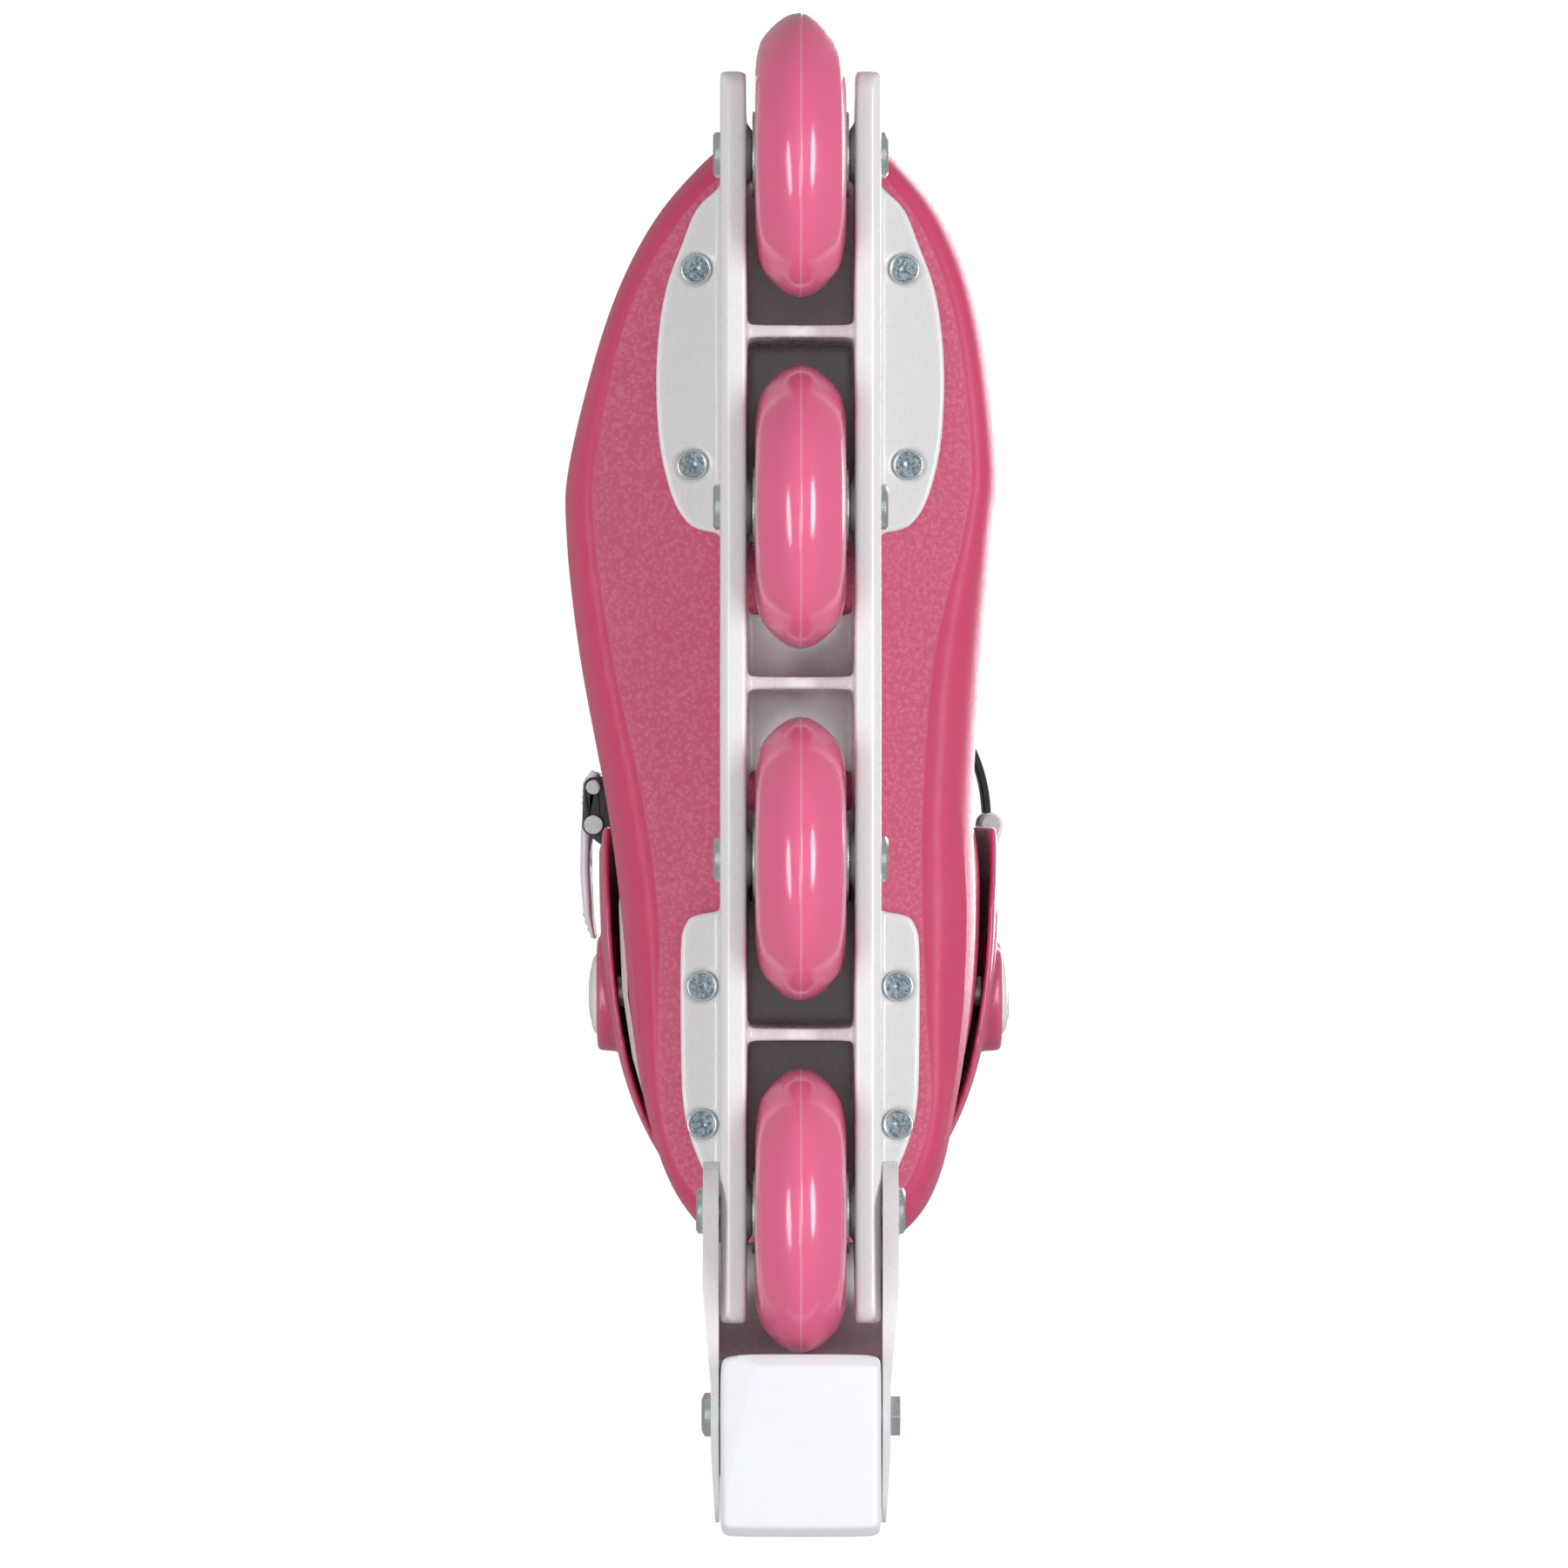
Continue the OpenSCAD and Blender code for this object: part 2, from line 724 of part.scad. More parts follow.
module cuff_strap() {
    n = len(strap_path) - 1;
    color("black") translate([0, 0, strap_z - strap_w / 2]) {
        linear_extrude(strap_w) difference() {
            union() {
                for (i = [0 : n - 1]) hull() {
                    translate(strap_path[i]) circle(d = strap_t, $fn = 16);
                    translate(strap_path[i + 1]) circle(d = strap_t, $fn = 16);
                }
                translate([anchor_pin, strap_y]) circle(r = 3.2);
            }
            translate([anchor_pin, strap_y]) circle(r = pin_r + 0.06);
        }
    }
}

module strap_anchor() {
    ear = 3;
    color("white") difference() {
        union() {
            translate([-seat_x - 1.3, strap_y - 22, strap_z - buckle_w / 2]) cube([1.3, 17, buckle_w]);
            for (s = [-1, 1]) translate([0, 0, s * (buckle_w - ear) / 2]) hull() {
                upright(anchor_pin, 0, 3.4, ear);
                translate([-seat_x - 1.3, strap_y - 20, strap_z - ear / 2]) cube([1.3, 15, ear]);
            }
        }
        upright(anchor_pin, 0, pin_r + 0.05, buckle_w + 2);
        for (z = [-9, 9]) translate([-60, strap_y - 15, strap_z + z]) along_x(0, 20, 1.6);
    }
}

module anchor_pin() {
    color("silver") {
        upright(anchor_pin, 0, pin_r, buckle_w + 1);
        for (s = [-1, 1]) translate([0, 0, s * (buckle_w / 2 + 0.6)]) upright(anchor_pin, 0, 2.6, 1);
    }
}

module anchor_rivets() {
    color("silver") for (z = [-9, 9]) translate([0, strap_y - 15, strap_z + z]) {
        along_x(-seat_x - 1.3, -45.9, 1.55);
        along_x(-seat_x - 2.2, -seat_x - 1.3, 2.6);
        along_x(-46, -44.9, 2.6);
    }
}

// ---- Instep closure ----

// Turns a plane across the foot so that its upright leans over the instep.
module over_instep() {
    translate([0, instep_y, instep_z]) rotate([instep_tilt, 0, 0]) children();
}

module instep_strap() {
    color("black") over_instep() translate([0, 0, -instep_w / 2]) linear_extrude(instep_w) difference() {
        union() {
            polygon(concat(instep_line(2.2), [for (i = [18 : -1 : 0]) instep_line(0)[i]]));
            translate([hinge_u, hinge_v]) circle(r = 3.4);
        }
        translate([hinge_u, hinge_v]) circle(r = 1.6);
    }
}

module instep_anchor() {
    color("white") difference() {
        over_instep() {
            translate([hinge_u, hinge_v, -instep_w / 2 - 4]) cylinder(r = 1.5, h = instep_w + 8);
            for (s = [-1, 1]) translate([0, 0, s * (instep_w / 2 + 2.5) - 1.5]) linear_extrude(3) hull() {
                translate([hinge_u, hinge_v]) circle(r = 3);
                translate([hinge_u - 4, hinge_v - 10]) circle(r = 3);
                translate([hinge_u + 4, hinge_v - 14]) circle(r = 3);
            }
        }
        boot_form(-0.05, 0);
    }
}

module instep_rivets() {
    color("silver") over_instep() for (w = [-1, 1])
        translate([hinge_u - 2.6, hinge_v - 5.6, w * (instep_w / 2 + 2.5)]) rotate([0, 90, 0]) {
            cylinder(r = 1, h = 4);
            translate([0, 0, -3]) cylinder(r = 1.3, h = 3.1);
        }
}

module hook_pad() {
    w = instep_w - 4;
    color("gray") difference() {
        over_instep() translate([0, 0, -w / 2]) linear_extrude(w)
            polygon(concat([for (i = [0 : 3]) instep_line(-0.4)[i]],
                [for (i = [3 : -1 : 0]) instep_line(-9)[i]]));
        boot_form(-0.05, 0);
    }
}

frame();
frame_rivets();
rivet_washers();
axle_barrels();
axle_screws();
rear_axle_barrel();
rear_axle_screw();
bearing_inner_rings();
bearing_balls();
bearing_spacers();
for (i = [1 : 4]) {
    tyre(i);
    hub(i);
    bearings(i);
}
brake_holder();
brake_pad();
brake_bolt();
brake_nut();
shell();
shell_trim();
insole();
liner();
tongue();
cuff();
cuff_liner();
tongue_top();
pivot_nuts();
pivot_screws();
pivot_caps();
buckle_base();
buckle_lever();
buckle_pawl();
buckle_pins();
buckle_rivets();
cuff_strap();
strap_anchor();
anchor_pin();
anchor_rivets();
instep_anchor();
instep_rivets();
instep_strap();
hook_pad();
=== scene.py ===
"""Looks of the inline skate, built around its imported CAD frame; millimetres until a mesh is made."""
import json
import math

import bpy
import numpy as np
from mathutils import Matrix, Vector


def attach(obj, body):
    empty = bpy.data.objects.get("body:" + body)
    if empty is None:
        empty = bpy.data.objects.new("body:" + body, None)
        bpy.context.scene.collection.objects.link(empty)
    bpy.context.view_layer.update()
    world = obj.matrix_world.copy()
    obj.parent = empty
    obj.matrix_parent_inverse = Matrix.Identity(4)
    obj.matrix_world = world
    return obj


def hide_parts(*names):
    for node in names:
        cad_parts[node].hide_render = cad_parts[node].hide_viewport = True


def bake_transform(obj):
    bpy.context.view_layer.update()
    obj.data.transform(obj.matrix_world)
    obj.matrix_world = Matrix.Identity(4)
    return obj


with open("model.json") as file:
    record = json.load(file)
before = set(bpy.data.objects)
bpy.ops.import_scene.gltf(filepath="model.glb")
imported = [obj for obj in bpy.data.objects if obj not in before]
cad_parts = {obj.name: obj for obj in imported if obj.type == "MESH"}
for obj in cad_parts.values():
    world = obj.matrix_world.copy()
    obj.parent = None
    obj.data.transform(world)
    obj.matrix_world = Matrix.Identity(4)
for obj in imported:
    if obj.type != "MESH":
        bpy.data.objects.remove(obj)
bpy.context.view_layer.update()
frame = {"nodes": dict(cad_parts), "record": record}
MM = 0.001

# ---------------------------------------------------------------- the boot's form, as in the CAD source

# y, half-width outside and inside, the same two at the sole's flat, sole height, top height
FOOT = np.array([
    [-152, 9, 9, 4, 4, 101, 132], [-148, 19, 21, 10, 10, 95, 146], [-140, 28, 31, 20, 20, 91, 156],
    [-128, 35, 37, 31, 29, 90, 164], [-110, 40, 40.5, 36.5, 34, 90, 172], [-85, 43, 43.5, 37, 33, 90, 178],
    [-60, 46.5, 45.5, 37, 32, 90, 182], [-30, 51, 45.5, 41, 32, 87.5, 184], [8, 58, 48, 49, 35, 84.5, 172],
    [40, 61.5, 51, 53.5, 42.5, 82, 160], [60, 60.5, 52.5, 53, 44.5, 82, 154], [96, 51, 48, 45, 40, 82, 145],
    [120, 40, 40, 32, 31, 82, 136], [136, 27, 28, 17, 18, 83.5, 128], [144, 17, 18, 7, 7, 88, 121],
    [148, 8, 8, 3, 3, 98, 112]])
# z, half-width, rear y, front y
ANKLE = np.array([[100, 42, -146, -10], [130, 46, -148, -6], [160, 49.5, -145, -2], [190, 50, -139, 0],
                  [215, 47.5, -134, 2], [240, 46, -130, 5], [270, 47.5, -126, 9], [302, 50, -123, 14]])
EGG_FRONT, EGG_N = 55.0, 2.3
WIDEST_UP = 27.0
SHELL_T, CUFF_GAP, CUFF_T = 3.5, 1.8, 2.8
PIVOT = (-83.0, 178.0)
AXLE_Y = [133.5, 44.5, -44.5, -133.5]
AXLE_Z = 36.0


def smooth_table(rows, steps):
    """Rows of a table joined by a smooth curve through all of them, with steps points between neighbours."""
    padded = np.vstack([2 * rows[0] - rows[1], rows, 2 * rows[-1] - rows[-2]])
    out = []
    for i in range(1, len(rows)):
        a, b, c, d = padded[i - 1], padded[i], padded[i + 1], padded[i + 2]
        for t in np.arange(steps) / steps:
            out.append(b + 0.5 * t * (c - a + t * (2 * a - 5 * b + 4 * c - d + t * (3 * (b - c) + d - a))))
    return np.array(out + [rows[-1]])


def half_outline(side, sole, zs, zt):
    """Half of a section across the foot: the sole's edge, the round band, the steep side and the top."""
    zw = min(zs + WIDEST_UP, (zs + zt) / 2)
    t = np.radians(np.linspace(-90, 90, 61))
    low, high = t <= 0, t > 0
    x, z = np.zeros_like(t), np.zeros_like(t)
    x[low] = sole + (side - sole) * np.cos(t[low]) ** (2 / 2.6)
    z[low] = zw - (zw - zs) * (-np.sin(t[low])) ** (2 / 1.7)
    x[high] = side * np.abs(np.cos(t[high])) ** (2 / EGG_N)
    z[high] = zw + (zt - zw) * np.sin(t[high]) ** (2 / EGG_N)
    flat = np.linspace(0, 1, 24, endpoint=False)
    return np.concatenate([flat * sole, x]), np.concatenate([np.full(24, zs), z])


class Foot:
    """The foot part of the boot: radii about a middle line, by angle and by place along the foot."""
    ANGLES = np.linspace(-math.pi, math.pi, 181)

    def __init__(self):
        rows = smooth_table(FOOT, 8)
        rows = rows[np.concatenate([[True], np.diff(rows[:, 0]) > 0.05])]
        self.y = rows[:, 0]
        self.mid = np.array([0.5 * (r[5] + min(r[6], 166)) for r in rows])
        self.radius = np.array([self.ring(r, m) for r, m in zip(rows, self.mid)])
        self.sole_out, self.sole_in, self.sole_z = rows[:, 3], rows[:, 4], rows[:, 5]

    def ring(self, row, mid):
        xo, zo = half_outline(row[1], row[3], row[5], row[6])
        xi, zi = half_outline(row[2], row[4], row[5], row[6])
        x = np.concatenate([xo, -xi[::-1]])
        z = np.concatenate([zo, zi[::-1]]) - mid
        angle = np.arctan2(z, x)
        order = np.argsort(angle)
        return np.interp(self.ANGLES, angle[order], np.hypot(x, z)[order], period=2 * math.pi)

    def field(self, x, y, z, inset=0.0, up=0.0):
        """Below zero inside the foot part, and about a distance near its skin."""
        y = y / (1 - inset / 150)
        lift = np.where(z < 125, up - inset, 0.0)
        z = z - lift
        mid = np.interp(y, self.y, self.mid)
        u = (np.arctan2(z - mid, x) + math.pi) / (2 * math.pi) * 180
        v = np.interp(y, self.y, np.arange(len(self.y)))
        i, j = np.clip(u.astype(int), 0, 179), np.clip(v.astype(int), 0, len(self.y) - 2)
        fu, fv = u - i, v - j
        r = self.radius
        low = r[j, i] * (1 - fu) + r[j, i + 1] * fu
        high = r[j + 1, i] * (1 - fu) + r[j + 1, i + 1] * fu
        beyond = np.maximum(0, np.maximum(self.y[0] - y, y - self.y[-1]))
        slope = (high - low) / (self.y[j + 1] - self.y[j])
        gap = np.hypot(x, z - mid) - (low * (1 - fv) + high * fv) + inset
        return gap / np.sqrt(1 + slope * slope) + 1.5 * beyond


foot = Foot()
ankle_rows = smooth_table(ANKLE, 6)


def ankle_field(x, y, z, inset=0.0, rear=0.0, front=0.0):
    """The ankle part: an egg in plan at every height."""
    w = np.interp(z, ankle_rows[:, 0], ankle_rows[:, 1]) - inset
    y0 = np.interp(z, ankle_rows[:, 0], ankle_rows[:, 2]) + inset - rear
    y1 = np.interp(z, ankle_rows[:, 0], ankle_rows[:, 3]) - inset + front
    mid = y1 - EGG_FRONT
    dy = y - mid
    a = np.where(dy > 0, y1 - mid, mid - y0)
    q = (np.abs(x / w) ** EGG_N + np.abs(dy / a) ** EGG_N) ** (1 / EGG_N) + 1e-6
    steep = np.hypot(np.abs(x / w / q) ** (EGG_N - 1) / w, np.abs(dy / a / q) ** (EGG_N - 1) / a)
    return np.maximum((q - 1) / steep, (100 + max(inset, 0)) - z)


def smin(a, b, k):
    return 0.5 * (a + b - np.sqrt((a - b) ** 2 + k * k))


def smax(a, b, k):
    return 0.5 * (a + b + np.sqrt((a - b) ** 2 + k * k))


def boot_field(x, y, z, inset=0.0, up=0.0, blend=3.0):
    return smin(foot.field(x, y, z, inset, up), ankle_field(x, y, z, inset), blend)


def polygon_field(u, v, points):
    """Distance to a closed outline in two dimensions, below zero inside."""
    best = np.full(np.shape(u), 1e9)
    sign = np.ones(np.shape(u))
    n = len(points)
    for i in range(n):
        ax, ay = points[i]
        bx, by = points[i - 1]
        ex, ey = bx - ax, by - ay
        wx, wy = u - ax, v - ay
        t = np.clip((wx * ex + wy * ey) / (ex * ex + ey * ey), 0, 1)
        best = np.minimum(best, (wx - ex * t) ** 2 + (wy - ey * t) ** 2)
        c1, c2, c3 = v >= ay, v < by, ex * wy > ey * wx
        sign = np.where((c1 & c2 & c3) | (~c1 & ~c2 & ~c3), -sign, sign)
    return sign * np.sqrt(best)


def throat_field(x, y, half, front):
    """Distance to the throat's outline in plan: a slot with a round front end."""
    return np.maximum(np.hypot(x, np.maximum(y - (front - half), 0)) - half, -40 - y)


def box_field(x, y, z, lo, hi):
    return np.maximum.reduce([lo[0] - x, x - hi[0], lo[1] - y, y - hi[1], lo[2] - z, z - hi[2]])


# ---------------------------------------------------------------- meshes

def iso_mesh(field, lo, hi, h):
    """Closed skin round the places where field is below zero: a grid of size h, then the true surface."""
    lo, hi = np.array(lo, float), np.array(hi, float)
    axes = [np.arange(lo[k], hi[k] + h, h) for k in range(3)]
    gx, gy, gz = np.meshgrid(*axes, indexing="ij")
    f = field(gx, gy, gz)
    inside = f < 0
    nx, ny, nz = f.shape
    corners = [(i, j, k) for i in (0, 1) for j in (0, 1) for k in (0, 1)]

    def at(a, c):
        return a[c[0]:nx - 1 + c[0], c[1]:ny - 1 + c[1], c[2]:nz - 1 + c[2]]

    count = sum(at(inside, c).astype(np.int8) for c in corners)
    active = (count > 0) & (count < 8)
    cells = np.argwhere(active)
    index = np.full(active.shape, -1)
    index[active] = np.arange(len(cells))
    total, hits = np.zeros((len(cells), 3)), np.zeros(len(cells))
    for a in corners:
        for axis in range(3):
            if a[axis]:
                continue
            b = list(a)
            b[axis] = 1
            fa, fb = at(f, a)[active], at(f, b)[active]
            cross = (fa < 0) != (fb < 0)
            t = np.where(cross, fa / np.where(cross, fa - fb, 1), 0)
            point = np.tile(np.array(a, float), (len(cells), 1))
            point[:, axis] += t
            total[cross] += point[cross]
            hits[cross] += 1
    verts = lo + h * (cells + total / hits[:, None])
    faces = []
    for axis in range(3):
        u, v = [k for k in range(3) if k != axis]
        first = [slice(1, -1)] * 3
        first[axis] = slice(0, -1)
        second = list(first)
        second[axis] = slice(1, None)
        a, b = inside[tuple(first)], inside[tuple(second)]
        for sign, mask in ((1, a & ~b), (-1, ~a & b)):
            p = np.argwhere(mask)
            p[:, u] += 1
            p[:, v] += 1
            q = []
            for du, dv in ((1, 1), (0, 1), (0, 0), (1, 0)):
                c = p.copy()
                c[:, u] -= du
                c[:, v] -= dv
                q.append(index[c[:, 0], c[:, 1], c[:, 2]])
            quad = np.stack(q, 1)
            flip = (sign > 0) != (axis == 1)
            faces.append(quad if flip else quad[:, ::-1])
    faces = np.vstack(faces)
    step = 0.25 * h
    for _ in range(3):
        g = np.zeros_like(verts)
        for k in range(3):
            d = np.zeros(3)
            d[k] = step
            p, m = verts + d, verts - d
            g[:, k] = (field(p[:, 0], p[:, 1], p[:, 2]) - field(m[:, 0], m[:, 1], m[:, 2])) / (2 * step)
        value = field(verts[:, 0], verts[:, 1], verts[:, 2])
        move = -value[:, None] * g / np.maximum((g * g).sum(1), 0.2)[:, None]
        length = np.linalg.norm(move, axis=1, keepdims=True)
        verts += move * np.minimum(1, 0.45 * h / np.maximum(length, 1e-9))
    return verts, faces


def add_mesh(name, verts, faces, smooth=True):
    """A new object from points in millimetres."""
    mesh = bpy.data.meshes.new(name)
    mesh.from_pydata((np.asarray(verts) * MM).tolist(), [], [list(map(int, f)) for f in faces])
    mesh.validate()
    mesh.update()
    if smooth:
        mesh.shade_smooth()
    obj = bpy.data.objects.new(name, mesh)
    bpy.context.scene.collection.objects.link(obj)
    return obj


def add_skin(name, field, lo, hi, h):
    return add_mesh(name, *iso_mesh(field, lo, hi, h))


def add_number(obj, name, values):
    """A number at every vertex, for a material to read."""
    attribute = obj.data.attributes.new(name, "FLOAT", "POINT")
    attribute.data.foreach_set("value", np.asarray(values, np.float32))


def points_of(obj):
    co = np.zeros(len(obj.data.vertices) * 3)
    obj.data.vertices.foreach_get("co", co)
    return co.reshape(-1, 3) / MM


def lathe(profile, middle, segments=96, axis=0):
    """A ring-shaped solid about an axis through middle, from a closed profile of (along, radius)."""
    n = len(profile)
    angle = np.linspace(0, 2 * math.pi, segments, endpoint=False)
    p = np.array(profile, float)
    x = np.tile(p[:, 0], segments)
    r = np.tile(p[:, 1], segments)
    a = np.repeat(angle, n)
    verts = np.stack([x, r * np.cos(a), r * np.sin(a)], 1)
    if axis == 2:
        verts = verts[:, [1, 2, 0]]
    verts = verts + np.array(middle, float)
    faces = []
    for i in range(segments):
        for j in range(n):
            k = (j + 1) % n
            s, t = i * n, (i + 1) % segments * n
            faces.append([s + j, t + j, t + k, s + k])
    return verts, faces


def join_parts(parts):
    verts, faces, base = [], [], 0
    for v, f in parts:
        verts.append(np.asarray(v))
        faces += [[int(i) + base for i in q] for q in f]
        base += len(v)
    return np.vstack(verts), faces


# ---------------------------------------------------------------- materials

class Look:
    """A procedural material on a Principled shader, with short calls for its nodes."""

    def __init__(self, name, color, rough, **sockets):
        self.material = bpy.data.materials.new(name)
        self.material.use_nodes = True
        self.nodes = self.material.node_tree.nodes
        self.links = self.material.node_tree.links
        self.shader = self.nodes["Principled BSDF"]
        self.color = color
        self.set("Base Color", (*color, 1))
        self.set("Roughness", rough)
        for key, value in sockets.items():
            self.set(key.replace("_", " "), value)
        self.normal = None

    def set(self, socket, value):
        self.shader.inputs[socket].default_value = value

    def node(self, kind, **inputs):
        n = self.nodes.new(kind)
        for key, value in inputs.items():
            name = key.replace("_", " ")
            if isinstance(value, bpy.types.NodeSocket):
                self.links.new(value, n.inputs[name])
            else:
                n.inputs[name].default_value = value
        return n

    def place(self, scale=(1, 1, 1)):
        """The surface's own place on the object, in millimetres, stretched by scale."""
        coord = self.nodes.new("ShaderNodeTexCoord")
        mapping = self.nodes.new("ShaderNodeMapping")
        mapping.inputs["Scale"].default_value = [1000 * s for s in scale]
        self.links.new(coord.outputs["Object"], mapping.inputs["Vector"])
        return mapping.outputs["Vector"]

    def noise(self, scale, detail=3.0, rough=0.55, stretch=(1, 1, 1)):
        return self.node("ShaderNodeTexNoise", Vector=self.place(stretch), Scale=scale, Detail=detail,
                         Roughness=rough).outputs["Fac"]

    def cells(self, scale, feature="F1", stretch=(1, 1, 1), output="Distance"):
        n = self.node("ShaderNodeTexVoronoi", Vector=self.place(stretch), Scale=scale)
        n.feature = feature
        return n.outputs[output]

    def waves(self, scale, direction="X", distortion=0.0):
        n = self.node("ShaderNodeTexWave", Vector=self.place(), Scale=scale, Distortion=distortion)
        n.bands_direction = direction
        return n.outputs["Fac"]

    def attribute(self, name):
        n = self.nodes.new("ShaderNodeAttribute")
        n.attribute_name = name
        return n.outputs["Fac"]

    def math(self, op, a, b=0.0, clamp=False):
        n = self.nodes.new("ShaderNodeMath")
        n.operation = op
        n.use_clamp = clamp
        for socket, value in zip(n.inputs, (a, b)):
            if isinstance(value, bpy.types.NodeSocket):
                self.links.new(value, socket)
            else:
                socket.default_value = value
        return n.outputs[0]

    def span(self, value, a, b, c=0.0, d=1.0):
        """value, from a..b, brought smoothly to c..d."""
        n = self.node("ShaderNodeMapRange", Value=value)
        n.interpolation_type = "SMOOTHSTEP"
        for socket, v in zip(("From Min", "From Max", "To Min", "To Max"), (a, b, c, d)):
            n.inputs[socket].default_value = v
        return n.outputs["Result"]

    def mix(self, fac, a, b):
        n = self.nodes.new("ShaderNodeMix")
        n.data_type = "RGBA"
        sockets = [s for s in n.inputs if s.enabled]
        for socket, value in zip(sockets, (fac, a, b)):
            if isinstance(value, bpy.types.NodeSocket):
                self.links.new(value, socket)
            else:
                socket.default_value = value if isinstance(value, float) else (*value, 1)
        return [s for s in n.outputs if s.enabled][0]

    def paint(self, color):
        self.links.new(color, self.shader.inputs["Base Color"])

    def roughness(self, value):
        self.links.new(value, self.shader.inputs["Roughness"])

    def bump(self, height, distance, strength=1.0):
        """Relief of the given depth in millimetres; calls stack."""
        n = self.node("ShaderNodeBump", Height=height, Distance=distance * MM, Strength=strength)
        if self.normal is not None:
            self.links.new(self.normal, n.inputs["Normal"])
        self.normal = n.outputs["Normal"]
        self.links.new(self.normal, self.shader.inputs["Normal"])

    def edges(self):
        """Near 1 on outer edges, near 0 in corners: the mask for painted shade in corners and creases."""
        geometry = self.nodes.new("ShaderNodeNewGeometry")
        return self.span(geometry.outputs["Pointiness"], 0.47, 0.56)


def darker(color, by):
    return tuple(c * by for c in color)


def lighter(color, by):
    return tuple(c + (1 - c) * by for c in color)


def urethane():
    pink = (0.84, 0.13, 0.285)
    m = Look("urethane_pink", pink, 0.2, Coat_Weight=0.5, Coat_Roughness=0.08, Subsurface_Weight=0.12,
             Subsurface_Radius=(0.6, 0.2, 0.25), Subsurface_Scale=0.004)
    cloud = m.noise(0.03, 3)
    body = m.mix(cloud, darker(pink, 0.93), lighter(pink, 0.035))
    across = m.node("ShaderNodeSeparateXYZ", Vector=m.place()).outputs["X"]
    # painted highlight: a lighter line along the tread's parting ridge
    parting_highlight = m.span(m.math("ABSOLUTE", across), 0.42, 0.2)
    m.paint(m.mix(m.math("MULTIPLY", parting_highlight, 0.55), body, lighter(pink, 0.22)))
    m.roughness(m.span(m.noise(0.35, 5, 0.7), 0.35, 0.7, 0.15, 0.27))
    m.bump(m.noise(0.9, 4, 0.65), 0.02, 0.5)
    m.bump(m.noise(0.12, 2), 0.08, 0.3)
    return m.material


def nylon(name, color, rough=0.3):
    """Glossy moulded nylon with a faint orange-peel skin, flow marks and painted shade in the corners."""
    m = Look(name, color, rough, Subsurface_Weight=0.08, Subsurface_Radius=(0.8, 0.7, 0.7),
             Subsurface_Scale=0.003, Specular_IOR_Level=0.5)
    flow = m.noise(0.05, 4, 0.6, (1, 0.25, 1))
    tint = m.mix(flow, darker(color, 0.965), lighter(color, 0.15))
    # painted shade: the colour darkens in corners and creases
    m.paint(m.mix(m.edges(), darker(color, 0.90), tint))
    m.roughness(m.span(m.noise(0.5, 4, 0.65, (1, 0.4, 1)), 0.3, 0.75, rough - 0.06, rough + 0.1))
    m.bump(m.noise(1.6, 3, 0.6), 0.018, 0.5)
    m.bump(m.noise(0.16, 2), 0.1, 0.3)
    return m.material


def sole_plastic():
    """Pink boot plastic: pebble grain on the flat of the sole, smooth and glossier elsewhere."""
    pink = (0.70, 0.108, 0.23)
    band = (0.66, 0.07, 0.175)
    m = Look("shell_pink", pink, 0.4, Specular_IOR_Level=0.22, Subsurface_Weight=0.05,
             Subsurface_Radius=(0.8, 0.25, 0.3), Subsurface_Scale=0.002)
    grain_place = m.attribute("sole_flat")
    grained = m.span(grain_place, -0.3, 0.5)
    pebble = m.cells(0.95, "SMOOTH_F1")
    fine = m.noise(2.2, 4, 0.6)
    height = m.math("ADD", m.math("MULTIPLY", pebble, 0.75), m.math("MULTIPLY", fine, 0.5))
    grain = m.math("MULTIPLY", height, grained)
    m.bump(grain, 0.16, 0.85)
    m.bump(m.noise(0.25, 3), 0.05, 0.3)
    cloud = m.noise(0.04, 3)
    smooth_tint = m.mix(cloud, darker(band, 0.95), lighter(band, 0.015))
    grain_tint = m.mix(m.span(height, 0.25, 0.7), lighter(pink, 0.11), lighter(darker(pink, 0.93), 0.025))
    m.paint(m.mix(grained, smooth_tint, grain_tint))
    satin = m.span(m.noise(0.6, 4), 0.3, 0.7, 0.36, 0.46)
    m.roughness(m.math("ADD", satin, m.math("MULTIPLY", grained, 0.12)))
    return m.material


def cuff_plastic():
    pink = (0.70, 0.105, 0.23)
    m = Look("cuff_pink", pink, 0.32, Coat_Weight=0.15, Coat_Roughness=0.25)
    cloud = m.noise(0.05, 4, 0.6, (1, 1, 0.4))
    base = m.mix(cloud, darker(pink, 0.94), lighter(pink, 0.025))
    # painted shade: the pink darkens in corners and creases
    m.paint(m.mix(m.edges(), darker(pink, 0.8), base))
    m.roughness(m.span(m.noise(0.7, 5, 0.7), 0.3, 0.75, 0.26, 0.4))
    m.bump(m.noise(1.2, 3), 0.025, 0.6)
    return m.material


def zinc():
    """Zinc plate: a cool satin skin, and blue-grey spangles where a piece is marked as frosted."""
    m = Look("zinc", (0.66, 0.72, 0.72), 0.3, Metallic=1.0)
    spangle = m.cells(1.7, "F1", output="Color")
    speck = m.noise(3.2, 5, 0.75)
    tone = m.math("ADD", m.math("MULTIPLY", spangle, 0.45), m.math("MULTIPLY", speck, 0.6))
    frosted = m.attribute("frosted")
    satin = m.mix(m.noise(0.6, 4), (0.56, 0.63, 0.63), (0.78, 0.82, 0.81))
    spangled = m.mix(m.span(tone, 0.3, 0.75), (0.15, 0.20, 0.25), (0.52, 0.60, 0.66))
    m.paint(m.mix(frosted, satin, spangled))
    m.roughness(m.math("ADD", m.span(speck, 0.3, 0.7, 0.2, 0.36), m.math("MULTIPLY", frosted, 0.16)))
    m.bump(m.math("MULTIPLY", speck, m.math("ADD", m.math("MULTIPLY", frosted, 0.85), 0.15)), 0.06, 0.8)
    return m.material


